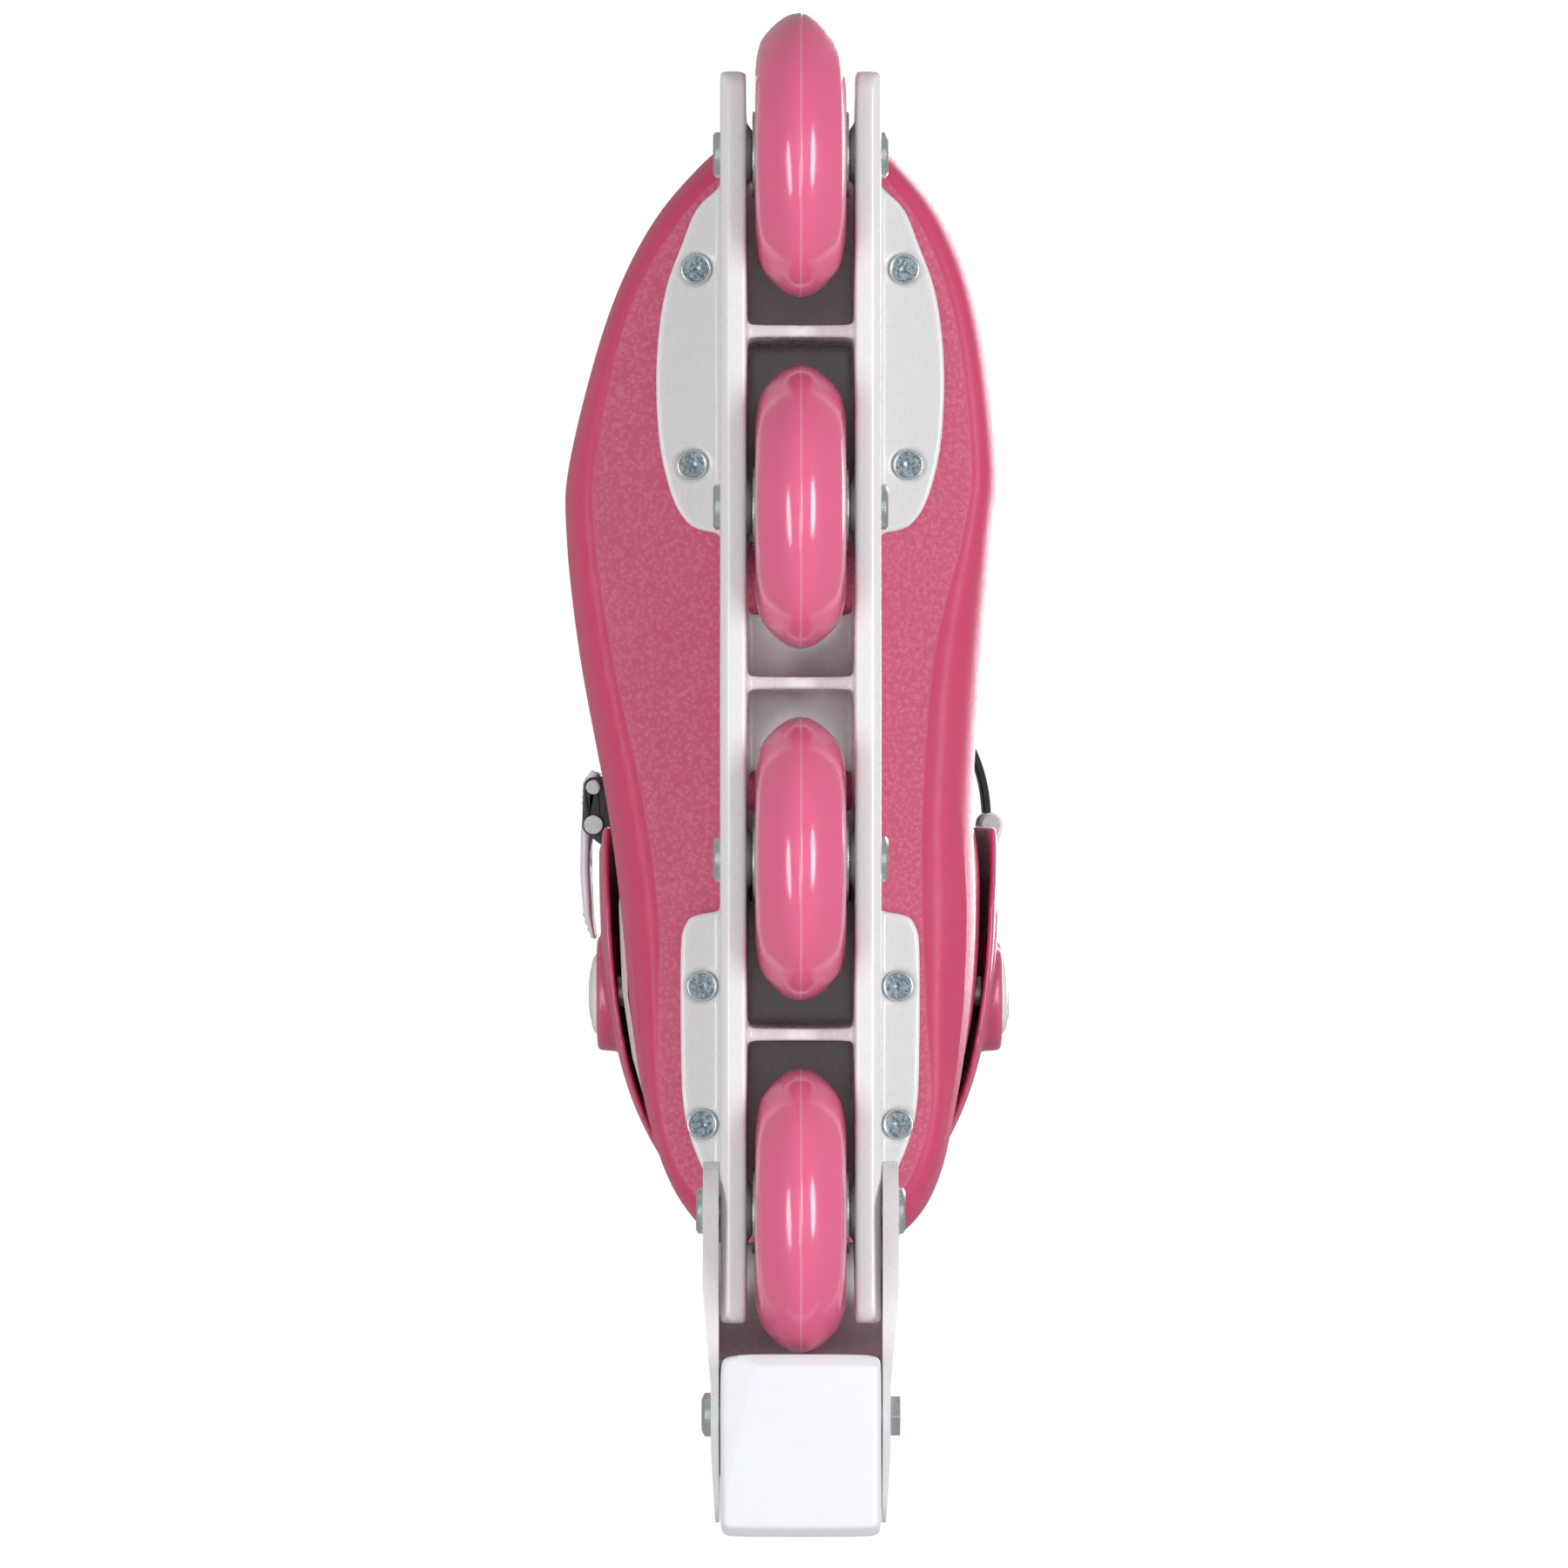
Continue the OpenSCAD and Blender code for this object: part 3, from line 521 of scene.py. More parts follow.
def steel(name, color, rough=0.25):
    m = Look(name, color, rough, Metallic=1.0)
    m.paint(m.mix(m.noise(0.5, 4), darker(color, 0.8), lighter(color, 0.1)))
    m.roughness(m.span(m.noise(1.5, 4, 0.7, (0.2, 1, 1)), 0.3, 0.7, rough - 0.08, rough + 0.12))
    m.bump(m.noise(3.0, 3, 0.6, (0.15, 1, 1)), 0.01, 0.5)
    return m.material


def rubber():
    white = (0.86, 0.88, 0.93)
    m = Look("brake_rubber", white, 0.42, Subsurface_Weight=0.1, Subsurface_Scale=0.003, Sheen_Weight=0.05)
    m.paint(m.mix(m.noise(0.04, 4), darker(white, 0.965), lighter(white, 0.12)))
    m.roughness(m.span(m.noise(0.8, 5, 0.7), 0.3, 0.75, 0.34, 0.52))
    m.bump(m.noise(2.4, 4, 0.65), 0.03, 0.5)
    return m.material


def black_plastic(name="buckle_black", tone=0.028, rough=0.35):
    color = (tone, tone, tone * 1.1)
    m = Look(name, color, rough)
    # painted shade: the black darkens further in corners and creases
    m.paint(m.mix(m.edges(), darker(color, 0.7), lighter(color, 0.02)))
    m.roughness(m.span(m.noise(0.9, 5, 0.7), 0.3, 0.7, rough - 0.06, rough + 0.15))
    m.bump(m.noise(2.2, 3), 0.03, 0.6)
    return m.material


def knit(name, color, cell=0.55, depth=0.5):
    """Padded knit: small round loops in rows, with loose fibre tone, and painted shade in the hollows between
    the loops.
    """
    m = Look(name, color, 0.85, Sheen_Weight=0.35, Sheen_Roughness=0.5)
    loops = m.cells(cell, "SMOOTH_F1", (1, 1, 0.8))
    fibre = m.noise(2.5, 5, 0.7)
    # painted shade: darker colour in the hollows between the loops
    m.paint(m.mix(m.span(loops, 0.1, 0.9), lighter(color, 0.07), darker(color, 0.68)))
    m.roughness(m.span(fibre, 0.3, 0.7, 0.75, 0.95))
    m.bump(m.math("SUBTRACT", 1.0, loops), depth, 0.8)
    m.bump(fibre, 0.08, 0.5)
    return m.material


def webbing(name="strap_webbing", color=(0.045, 0.045, 0.05)):
    """Woven webbing: crossing yarns in a close diagonal rib."""
    m = Look(name, color, 0.7, Sheen_Weight=0.2, Sheen_Roughness=0.4)
    yarn = m.math("MULTIPLY", m.waves(0.28, "X", 0.4), m.waves(0.28, "DIAGONAL", 0.4))
    fibre = m.noise(3, 4, 0.7)
    # painted shade: darker colour in the low places between the yarns
    m.paint(m.mix(yarn, darker(color, 0.5), lighter(color, 0.09)))
    m.roughness(m.span(fibre, 0.3, 0.7, 0.6, 0.85))
    m.bump(yarn, 0.3, 0.8)
    m.bump(fibre, 0.06, 0.5)
    return m.material


WHITE = (0.86, 0.85, 0.86)
LILAC = (0.90, 0.87, 0.97)
looks = {
    "urethane_pink": urethane(),
    "hub_white": nylon("hub_white", (0.82, 0.79, 0.86), 0.32),
    "bearing_steel": steel("bearing_steel", (0.62, 0.63, 0.65), 0.25),
    "spacer_alloy": steel("spacer_alloy", (0.72, 0.72, 0.74), 0.3),
    "zinc": zinc(),
    "frame_nylon": nylon("frame_nylon", WHITE, 0.26),
    "brake_rubber": rubber(),
    "shell_pink": sole_plastic(),
    "cuff_pink": cuff_plastic(),
    "cap_white": nylon("cap_white", (0.86, 0.86, 0.87), 0.2),
    "trim_white": nylon("trim_white", (0.80, 0.75, 0.72), 0.35),
    "liner_fabric": knit("liner_fabric", (0.11, 0.11, 0.12), 1.15, 0.22),
    "tongue_fabric": knit("tongue_fabric", (0.14, 0.14, 0.15), 0.8, 0.32),
    "insole_foam": knit("insole_foam", (0.3, 0.3, 0.32), 1.3, 0.2),
    "buckle_black": black_plastic(),
    "buckle_white": nylon("buckle_white", LILAC, 0.2),
    "strap_black": black_plastic("strap_black", 0.03, 0.4),
    "strap_webbing": webbing(),
    "hook_fabric": knit("hook_fabric", (0.03, 0.03, 0.035), 1.1, 0.4),
    "thread": knit("thread", (0.5, 0.42, 0.45), 2.0, 0.1),
}
slot_of = {s["node"]: s["material_slot"] for s in frame["record"]["subparts"]}
body_of = {n: b for b, names in frame["record"]["behaviour"]["bodies"].items() for n in names}


def dress(obj, slot):
    obj.data.materials.clear()
    obj.data.materials.append(looks[slot])


def stand_for(obj, node, *others):
    """A new piece takes a CAD node's body, finish and place in the model."""
    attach(obj, body_of[node])
    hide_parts(node, *others)
    dress(obj, slot_of[node])
    return obj


def soften_edges(obj, width, segments=2, angle=32):
    """Rounds a moulded or turned part's sharp edges."""
    weld = obj.modifiers.new("weld", "WELD")
    weld.merge_threshold = 0.00001
    bevel = obj.modifiers.new("bevel", "BEVEL")
    bevel.width = width * MM
    bevel.segments = segments
    bevel.limit_method = "ANGLE"
    bevel.angle_limit = math.radians(angle)
    bevel.use_clamp_overlap = True
    bevel.harden_normals = False
    normals = obj.modifiers.new("normals", "WEIGHTED_NORMAL")
    normals.keep_sharp = False


# ---------------------------------------------------------------- wheels

# half-width and radius of the tyre, from the core to the tread's middle
TREAD = np.array([[10.9, 21.0], [11.4, 21.5], [11.35, 22.8], [11.2, 24.1], [10.95, 25.5], [10.6, 26.9],
                  [10.2, 28.2], [9.5, 29.5], [8.5, 30.8], [7.25, 32.1], [5.85, 33.4], [4.2, 34.6],
                  [2.8, 35.33], [1.45, 35.75], [0.34, 35.88]])
TYRE_SEGMENTS = 160


def tyre(i):
    """Cast urethane tyre: a pointed round tread with a thin parting line, and conical sides."""
    half = [tuple(q) for q in smooth_table(TREAD, 4)]
    ridge = [(0.2, 35.98), (0.0, 36.0), (-0.2, 35.98)]
    profile = half + ridge + [(-x, r) for x, r in reversed(half)]
    obj = add_mesh(f"wheel_{i}_tyre_cast", *lathe(profile, (0, AXLE_Y[i - 1], AXLE_Z), TYRE_SEGMENTS))
    return stand_for(obj, f"wheel_{i}_tyre")


for number in range(1, 5):
    tyre(number)

# ---------------------------------------------------------------- frame and brake

# outlines in plan and from the side, as in the CAD source
RIVETS = [(27, 107.8), (28, 57.1), (25.5, -78.2), (25.5, -114.1)]
RAIL_SIDE = [(-161.5, 25), (154, 25), (154, 37), (129, 81.6), (40, 81.6), (-58, 89.6), (-133, 89.6),
             (-161.5, 44)]
RAIL_IN, RAIL_OUT, RAIL_LOW = 13.7, 20.3, 25
RAIL_ROUND = 5
BETWEEN = 14.7
WINDOWS = (-17.5, 17.5)
FRONT_PLATE = [(18, 129), (21.1, 128.3), (26.8, 123.3), (30.6, 114.3), (34.7, 103), (36.8, 90), (37.3, 76),
               (36.2, 61), (33.2, 49), (29.7, 42.8), (25.6, 40.3), (18, 39.6)]
REAR_PLATE = [(18, -132), (22.3, -130), (25.1, -126), (28.4, -118), (30.4, -109), (31, -94), (31, -69),
              (29.9, -62.6), (26.9, -59.8), (18, -59)]
DECKS = [(38, 128), (-22, 18), (-50, -33), (-131, -57)]
RIBS, RIB_HALF = (-89, 0, 89), 1.5
WEBS = (-58.5, -127.5)
GUARD_R, GUARD_FROM, GUARD_TO = 39.8, -144, -162.7


def shrink(points, d):
    """A closed convex outline with every side moved in by d."""
    p = np.array(points, float)
    if np.sum(p[:, 0] * np.roll(p[:, 1], -1) - np.roll(p[:, 0], -1) * p[:, 1]) < 0:
        p = p[::-1]
    out = []
    n = len(p)
    for i in range(n):
        a, b, c = p[i - 1], p[i], p[(i + 1) % n]
        u, v = (b - a) / np.linalg.norm(b - a), (c - b) / np.linalg.norm(c - b)
        nu, nv = np.array([-u[1], u[0]]), np.array([-v[1], v[0]])
        m = nu + nv
        out.append(tuple(b + m * d / (1 + nu @ nv)))
    return out


def plate(points):
    half = smooth_table(np.array(points, float), 4)
    return [tuple(q) for q in half] + [(-x, y) for x, y in half[::-1]]


RAIL_CORE = shrink(RAIL_SIDE, RAIL_ROUND)
PLATES = [(plate(FRONT_PLATE), 78.0, 81.95), (plate(REAR_PLATE), 86.0, 89.9)]


def slab(d, value, lo, hi, k):
    return smax(d, np.maximum(lo - value, value - hi), k)


def frame_field(x, y, z):
    """Frame moulding: rails with windows, flange plates, decks, ribs, webs, axle cones and a wheel guard."""
    ax = np.abs(x)
    rail = polygon_field(y, z, RAIL_CORE) - RAIL_ROUND
    for w in WINDOWS:
        window = polygon_field(y, z, [(w - 8.5, 50), (w + 8.5, 50), (w, 68)]) - 3.8
        rail = smax(rail, -window, 0.8)
    rail = slab(rail, ax, RAIL_IN, RAIL_OUT, 0.8)
    chamfer = (ax - RAIL_OUT + RAIL_LOW - z + 2.2) * 0.7071
    body = smax(rail, chamfer, 0.5)
    for outline, lo, hi in PLATES:
        body = smin(body, slab(polygon_field(x, y, outline), z, lo, hi, 0.7), 1.6)
    for lo, hi in DECKS:
        body = smin(body, box_field(x, y, z, (-BETWEEN, lo, 76), (BETWEEN, hi, 79)), 1.2)
    for rib in RIBS:
        mark = np.hypot(x, y - rib)
        dent = 0.3 * np.exp(-((mark - 1.4) / 0.35) ** 2)
        across = np.maximum(np.abs(y - rib) - RIB_HALF, ax - BETWEEN)
        body = smin(body, smax(across, np.maximum(36 - z + dent, z - 77), 0.5), 1.2)
    for web in WEBS:
        lo, hi = (-BETWEEN, web - RIB_HALF, 77), (BETWEEN, web + RIB_HALF, 87)
        body = smin(body, box_field(x, y, z, lo, hi), 1.0)
    for axle in AXLE_Y:
        r = np.hypot(y - axle, z - AXLE_Z)
        cone = smax(r - 6.2 - 1.2 * np.maximum(ax - 12.2, 0), np.maximum(12.2 - ax, ax - 15), 0.4)
        body = smin(body, cone, 0.6)
    arch = np.abs(np.hypot(y - AXLE_Y[3], z - AXLE_Z) - GUARD_R) - 1.2
    arch = smax(arch, np.maximum(y - GUARD_FROM, GUARD_TO - y), 0.8)
    body = smin(body, np.maximum(arch, ax - BETWEEN), 0.8)
    for rx, ry in RIVETS:
        r = np.hypot(ax - rx, y - ry)
        floor_z = 78.6 if ry > 0 else 86.6
        body = smax(body, -smax(r - 4.5, z - floor_z, 0.4), 0.4)
    return body


frame_skin = add_skin("frame_moulding", frame_field, (-38.5, -163, 23.6), (38.5, 155.4, 91), 0.85)
stand_for(frame_skin, "frame")

PAD_SIDE = [(-167.8, 13), (-170.8, 10), (-210.8, 10), (-213.8, 14), (-210.8, 42), (-203.8, 47.5),
            (-178.4, 47.5), (-175.2, 43), (-172.2, 43), (-171.4, 38), (-171.6, 30)]
PAD_HALF, PAD_FACE = 20.3, 10.15
# the facet's crease on the rubbing face runs from one point in plan to the other
FACET_FROM, FACET_TO, FACET_RISE = (11.1, -172.7), (18.7, -209.4), 0.55


def pad_field(x, y, z):
    """Brake pad: rounded block whose outer third of the rubbing face is a shallow slanting facet."""
    side = polygon_field(y, z, PAD_SIDE)
    body = smax(side, np.abs(x) - PAD_HALF, 2.0)
    du, dv = FACET_TO[0] - FACET_FROM[0], FACET_TO[1] - FACET_FROM[1]
    past = ((y - FACET_FROM[1]) * du - (x - FACET_FROM[0]) * dv) / math.hypot(du, dv)
    return smax(body, PAD_FACE + FACET_RISE * np.maximum(past, 0) - z, 0.35)


pad = add_skin("brake_pad_moulding", pad_field, (-21.5, -215, 8.8), (21.5, -166.6, 48.8), 0.9)
stand_for(pad, "brake_pad")


def frame_rivets():
    """Tubular rivets: a bright rolled rim round a sunk, frosted disc, and a closed tail inside the boot."""
    profile = [(-4.05, 0.01), (-4.05, 1.5), (-4.05, 3.1), (-4.06, 3.22), (-4.25, 3.32), (-4.42, 3.5),
               (-4.44, 3.68), (-4.32, 3.9), (-4.1, 3.99), (-3.95, 4.0), (-3.4, 4.0), (-3.4, 2.4), (4.7, 2.4),
               (4.7, 3.4), (5.3, 3.4), (5.5, 3.0), (5.5, 0.01)]
    disc, segments = 3.25, 40
    places = [(side * x, y, 82 if y > 0 else 90) for x, y in RIVETS for side in (1, -1)]
    turned = [lathe(profile, place, segments, axis=2) for place in places]
    obj = add_mesh("frame_rivets_rolled", *join_parts(turned))
    radius = np.tile([r for _, r in profile], segments * len(places))
    add_number(obj, "frosted", (radius < disc).astype(float))
    stand_for(obj, "frame_rivets")


frame_rivets()

# ---------------------------------------------------------------- shell

SHELL_SIDE = [(-160, 70), (160, 70), (160, 190), (60, 190), (-5, 175), (-25, 181), (-45, 186), (-70, 189),
              (-110, 189), (-160, 184)]
CREASE_UP = 31.0
HEEL_WALL_Y = -146.2
THROAT_HALF, THROAT_FRONT = 28, 78


def step(t):
    t = np.clip(t, 0, 1)
    return t * t * (3 - 2 * t)


def shell_field(x, y, z):
    """Boot shell: a wall that is thicker at the heel, a stepped band above the sole, and the throat."""
    crease = np.interp(y, foot.y, foot.sole_z) + CREASE_UP
    skin = boot_field(x, y, z) + 0.8 * step((z - crease) / 1.6)
    hollow = np.maximum(boot_field(x, y, z, SHELL_T, SHELL_T), HEEL_WALL_Y - y)
    wall = np.maximum(skin, -hollow)
    keep = smax(wall, polygon_field(y, z, SHELL_SIDE), 1.6)
    opening = np.maximum(throat_field(x, y, THROAT_HALF, THROAT_FRONT), 130 - z)
    return smax(keep, -opening, 1.6)


shell = add_skin("shell_moulding", shell_field, (-58, -155, 79), (65, 151, 194), 1.35)
p = points_of(shell)
flat_edge = np.where(p[:, 0] > 0, np.interp(p[:, 1], foot.y, foot.sole_out),
                     np.interp(p[:, 1], foot.y, foot.sole_in)) - np.abs(p[:, 0])
level = np.interp(p[:, 1], foot.y, foot.sole_z)
add_number(shell, "sole_flat", np.minimum(flat_edge, 6 - np.maximum(p[:, 2] - level - 2, 0) * 3))
stand_for(shell, "shell")

# ---------------------------------------------------------------- cuff

CUFF_SIDE = [(-37, 168), (-58, 153), (-96, 151), (-122, 163), (-160, 174), (-160, 284), (-122, 286),
             (-62, 270), (-37, 261)]


def cuff_field(x, y, z):
    """Cuff: a thinned rim with two raised lines along it, pivot bosses, and flats under the buckle parts."""
    side = polygon_field(y, z, CUFF_SIDE)
    rim = 0.9 * step((side + 7) / 2.5)
    lines = 0.5 * np.exp(-((side + 13) / 0.9) ** 2) + 0.5 * np.exp(-((side + 17) / 0.9) ** 2)
    out = ankle_field(x, y, z, -(CUFF_GAP + CUFF_T), 2.5, 6) + rim * 0.6 + lines
    inner = ankle_field(x, y, z, -CUFF_GAP, 2.5, 6)
    wall = smax(np.maximum(out, -inner), side, 1.4)
    r = np.hypot(y - PIVOT[0], z - PIVOT[1])
    boss = smax(smax(np.abs(x) - 55.3, r - 15.6, 1.2), 49.9 - np.abs(x), 0.2)
    wall = smin(wall, boss, 1.0)
    hole = np.maximum(r - 11.3, 52.9 - np.abs(x))
    bore = np.maximum(r - 5.3, 30 - np.abs(x))
    seat = box_field(np.abs(x), y, z, (50, -67, 222), (60, -27, 258))
    return smax(smax(wall, -np.minimum(hole, bore), 0.5), -seat, 0.5)


cuff = add_skin("cuff_moulding", cuff_field, (-59, -151, 148), (59, -34, 290), 0.95)
stand_for(cuff, "cuff")


def pivot_caps():
    """Domed caps with a fine ring, sunk in the cuff's bosses."""
    dome = [(54.0, 10.2), (54.9, 10.95), (55.5, 10.9), (56.2, 10.0), (56.7, 8.6), (56.62, 8.2), (56.5, 8.0),
            (56.75, 7.7), (57.2, 6.2), (57.5, 3.6), (57.6, 0.01), (54.0, 0.01)]
    right = lathe(dome, (0, *PIVOT), 72)
    left = (right[0] * np.array([-1, 1, 1]), [f[::-1] for f in right[1]])
    stand_for(add_mesh("pivot_caps_moulding", *join_parts([right, left])), "pivot_caps")


pivot_caps()

# ---------------------------------------------------------------- straps

def sweep(path, ring, up, place):
    """A band along a flat path: ring(s) gives its (offset, height) points at length s, and place turns
    (u, v, w) to x, y, z."""
    path = np.array(path, float)
    tangent = np.gradient(path, axis=0)
    tangent /= np.linalg.norm(tangent, axis=1, keepdims=True)
    normal = np.stack([tangent[:, 1], -tangent[:, 0]], 1) * up
    length = np.concatenate([[0], np.cumsum(np.linalg.norm(np.diff(path, axis=0), axis=1))])
    verts, faces, m = [], [], len(ring(0.0))
    for i, s in enumerate(length):
        for offset, height in ring(s):
            q = path[i] + normal[i] * offset
            verts.append((q[0], q[1], height))
    n = len(path)
    for i in range(n - 1):
        for j in range(m):
            k = (j + 1) % m
            quad = [i * m + j, i * m + k, (i + 1) * m + k, (i + 1) * m + j]
            faces.append(quad if up > 0 else quad[::-1])
    first, last = list(range(m)), [(n - 1) * m + j for j in range(m)]
    faces += [first[::-1] if up > 0 else first, last if up > 0 else last[::-1]]
    return place(np.array(verts)), faces


def even(path, gap):
    """The same path with points a fixed distance apart."""
    path = np.array(path, float)
    d = np.concatenate([[0], np.cumsum(np.linalg.norm(np.diff(path, axis=0), axis=1))])
    t = np.linspace(0, d[-1], int(d[-1] / gap) + 1)
    return np.stack([np.interp(t, d, path[:, 0]), np.interp(t, d, path[:, 1])], 1)


def sgn_pow(v, p):
    return math.copysign(abs(v) ** p, v)


STRAP_Y, STRAP_Z, STRAP_HALF, ANCHOR_X = -37.0, 240.0, 53.0, -53.8
TOOTH = 2.4


def ratchet_strap():
    """Ratchet strap: a smooth band with a raised border, and slanting teeth along its free half."""
    line = [(STRAP_HALF * sgn_pow(math.cos(t), 0.9), STRAP_Y + 46.5 * math.sin(t) ** 0.9)
            for t in np.radians(np.arange(177, 1, -2))]
    reach = STRAP_HALF - ANCHOR_X
    line += [(ANCHOR_X + reach * math.cos(t), STRAP_Y - reach * math.sin(t))
             for t in np.radians((0, 1.5, 3, 4.5))]
    gap = 0.4
    path = even(line, gap)
    total = gap * len(path)

    def ring(s):
        toothed = step((s - 0.42 * total) / 3) * step((total - 4 - s) / 3)
        tooth = toothed * 0.75 * ((s / TOOTH) % 1)
        h = step((total - s) / 8) * 3 + 9
        return [(-1, -h + 0.5), (-0.6, -h), (0.6, -h), (1.0, -h + 0.5), (1.0, -h + 2.4),
                (0.95 - tooth, -h + 2.9), (0.95 - tooth, h - 2.9), (1.0, h - 2.4), (1.0, h - 0.5),
                (0.6, h), (-0.6, h), (-1, h - 0.5)]

    band = sweep(path, ring, -1, lambda v: v + np.array([0, 0, STRAP_Z]))
    barrel = [(-12, 1.86), (-11.5, 3.2), (11.5, 3.2), (12, 1.86)]
    eye = lathe(barrel, (ANCHOR_X, STRAP_Y, STRAP_Z), 40, axis=2)
    obj = add_mesh("ratchet_strap_moulding", *join_parts([band, eye]), smooth=False)
    stand_for(obj, "cuff_strap")


ratchet_strap()

PIN_X, PAWL_Y = 57.6, -26.5
# the lever's and the pawl's outlines about their pins
LEVER = [(0, 2.4), (3, 1.6), (3.8, -3), (4, -14), (3, -26), (1, -32), (-0.6, -32.4), (0.4, -25), (1, -12),
         (0.8, -2)]
PAWL = [(-1, 2), (-1.6, 4.4), (0.6, 5), (3, 1.5), (3.4, -5.2), (1.6, -5.2), (1.4, -1)]


def lever_field(x, y, z):
    """Buckle lever: crowned, rounded plate with thumb ridges at its free end and a shallow panel along it."""
    u, v, w = x - PIN_X, y - STRAP_Y, z - STRAP_Z
    side = smin(polygon_field(u, v, LEVER), np.hypot(u, v) - 3.2, 0.8)
    tip = 13.6 - 2.6 * step((-24 - v) / 9) ** 2
    ridges = 0.22 * np.cos(v * 2 * math.pi / 2.2) * step((-23.5 - v) / 1.5) * step((11 - np.abs(w)) / 1.5)
    panel = 0.45 * step((9 - np.abs(w)) / 1.2) * step((v + 21) / 1.5) * step((-3 - v) / 1.5)
    outer = (ridges + panel) * step((u - 1) / 0.6)
    return smax(smax(side + outer, np.abs(w) - tip, 1.4), 1.85 - np.hypot(u, v), 0.2)


def pawl_field(x, y, z):
    """Buckle pawl: a short hooked plate, ribbed outside."""
    u, v, w = x - PIN_X, y - PAWL_Y, z - STRAP_Z
    side = smin(polygon_field(u, v, PAWL), np.hypot(u, v) - 2.4, 0.6)
    ridges = 0.18 * np.cos(v * 2 * math.pi / 1.8) * step((u - 1.4) / 0.6) * step((11.5 - np.abs(w)) / 1.2)
    return smax(smax(side + ridges, np.abs(w) - 13.6, 1.0), 1.25 - np.hypot(u, v), 0.2)


lever = add_skin("buckle_lever_moulding", lever_field, (55, -72, 225), (63, -32.5, 255), 0.5)
stand_for(lever, "buckle_lever")
pawl = add_skin("buckle_pawl_moulding", pawl_field, (54, -33.5, 225), (62.5, -20, 255), 0.5)
stand_for(pawl, "buckle_pawl")

# the instep strap lies in a tilted plane, and swings on a bar at the hinge
TILT = math.radians(68)
HINGE = (-39.5, 14.0)


def over_instep(v):
    """From the strap's own plane to the boot."""
    v = np.asarray(v, float)
    return np.stack([v[:, 0], v[:, 1] * math.cos(TILT) - v[:, 2] * math.sin(TILT) + 22,
                     v[:, 1] * math.sin(TILT) + v[:, 2] * math.cos(TILT) + 146], 1)


def instep_line(out, degrees):
    """The strap's path over the tongue, a distance out from it."""
    p = 2 / 2.2
    return [(2 + (52 + out) * sgn_pow(math.cos(a), p), -12 + (34 + out) * math.sin(a) ** p)
            for a in np.radians(degrees)]


def instep_strap():
    """Webbing strap folded round the hinge bar, with rows of stitches along its edges."""
    line = instep_line(1.1, np.arange(34, 127, 2))
    start = math.atan2(line[-1][1] - HINGE[1], line[-1][0] - HINGE[0])
    loop = [(HINGE[0] + 2.6 * math.cos(a), HINGE[1] + 2.6 * math.sin(a))
            for a in np.linspace(start * 0.3 + math.radians(75) * 0.7, math.radians(330), 16)]
    path = even(line + loop, 1.0)

    def ring(s):
        h = 18 - 2.5 * (1 - step(s / 5))
        bulge = 0.12 * math.sin(s * 2 * math.pi / 2.2)
        return [(-0.8, -h), (0.8, -h), (0.95 + bulge, -h + 1.2), (0.85, -h + 3), (0.95, 0), (0.85, h - 3),
                (0.95 - bulge, h - 1.2), (0.8, h), (-0.8, h), (-0.95, 0)]

    obj = add_mesh("instep_strap_webbing", *sweep(path, ring, -1, over_instep))
    stand_for(obj, "instep_strap")
    seams = []
    rows = even(instep_line(2.15, np.arange(38, 124, 2)), 2.6)
    for w in (-15.4, 15.4):
        for a, b in zip(rows[:-1], rows[1:]):
            seams.append(stitch((*a, w), (*(a + 0.66 * (b - a)), w), over_instep))
    for row in rows[-7:-5]:
        for w in np.arange(-13, 13, 2.6):
            seams.append(stitch((*row, w), (*row, w + 1.7), over_instep))
    thread = add_mesh("instep_strap_stitches", *join_parts(seams))
    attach(thread, "wrap_strap")
    thread.data.materials.append(looks["thread"])


def stitch(a, b, place, r=0.32):
    """One stitch of thread: a short rounded rod."""
    a, b = place(np.array([a]))[0], place(np.array([b]))[0]
    axis = (b - a) / np.linalg.norm(b - a)
    side = np.cross(axis, [0.31, 0.62, 0.72])
    side /= np.linalg.norm(side)
    other = np.cross(axis, side)
    verts, faces = [], []
    for t, k in ((0, 0.35), (0.2, 1), (0.8, 1), (1, 0.35)):
        for q in np.linspace(0, 2 * math.pi, 6, endpoint=False):
            verts.append(a + (b - a) * t + r * k * (side * math.cos(q) + other * math.sin(q)))
    for i in range(3):
        for j in range(6):
            faces.append([i * 6 + j, i * 6 + (j + 1) % 6, (i + 1) * 6 + (j + 1) % 6, (i + 1) * 6 + j])
    faces += [list(range(5, -1, -1)), list(range(18, 24))]
    return np.array(verts), faces


# ---------------------------------------------------------------- padded pieces

PUFF_FRAMES = 20


def seam_distance(value, levels):
    return np.min([np.abs(value - q) for q in levels], axis=0)


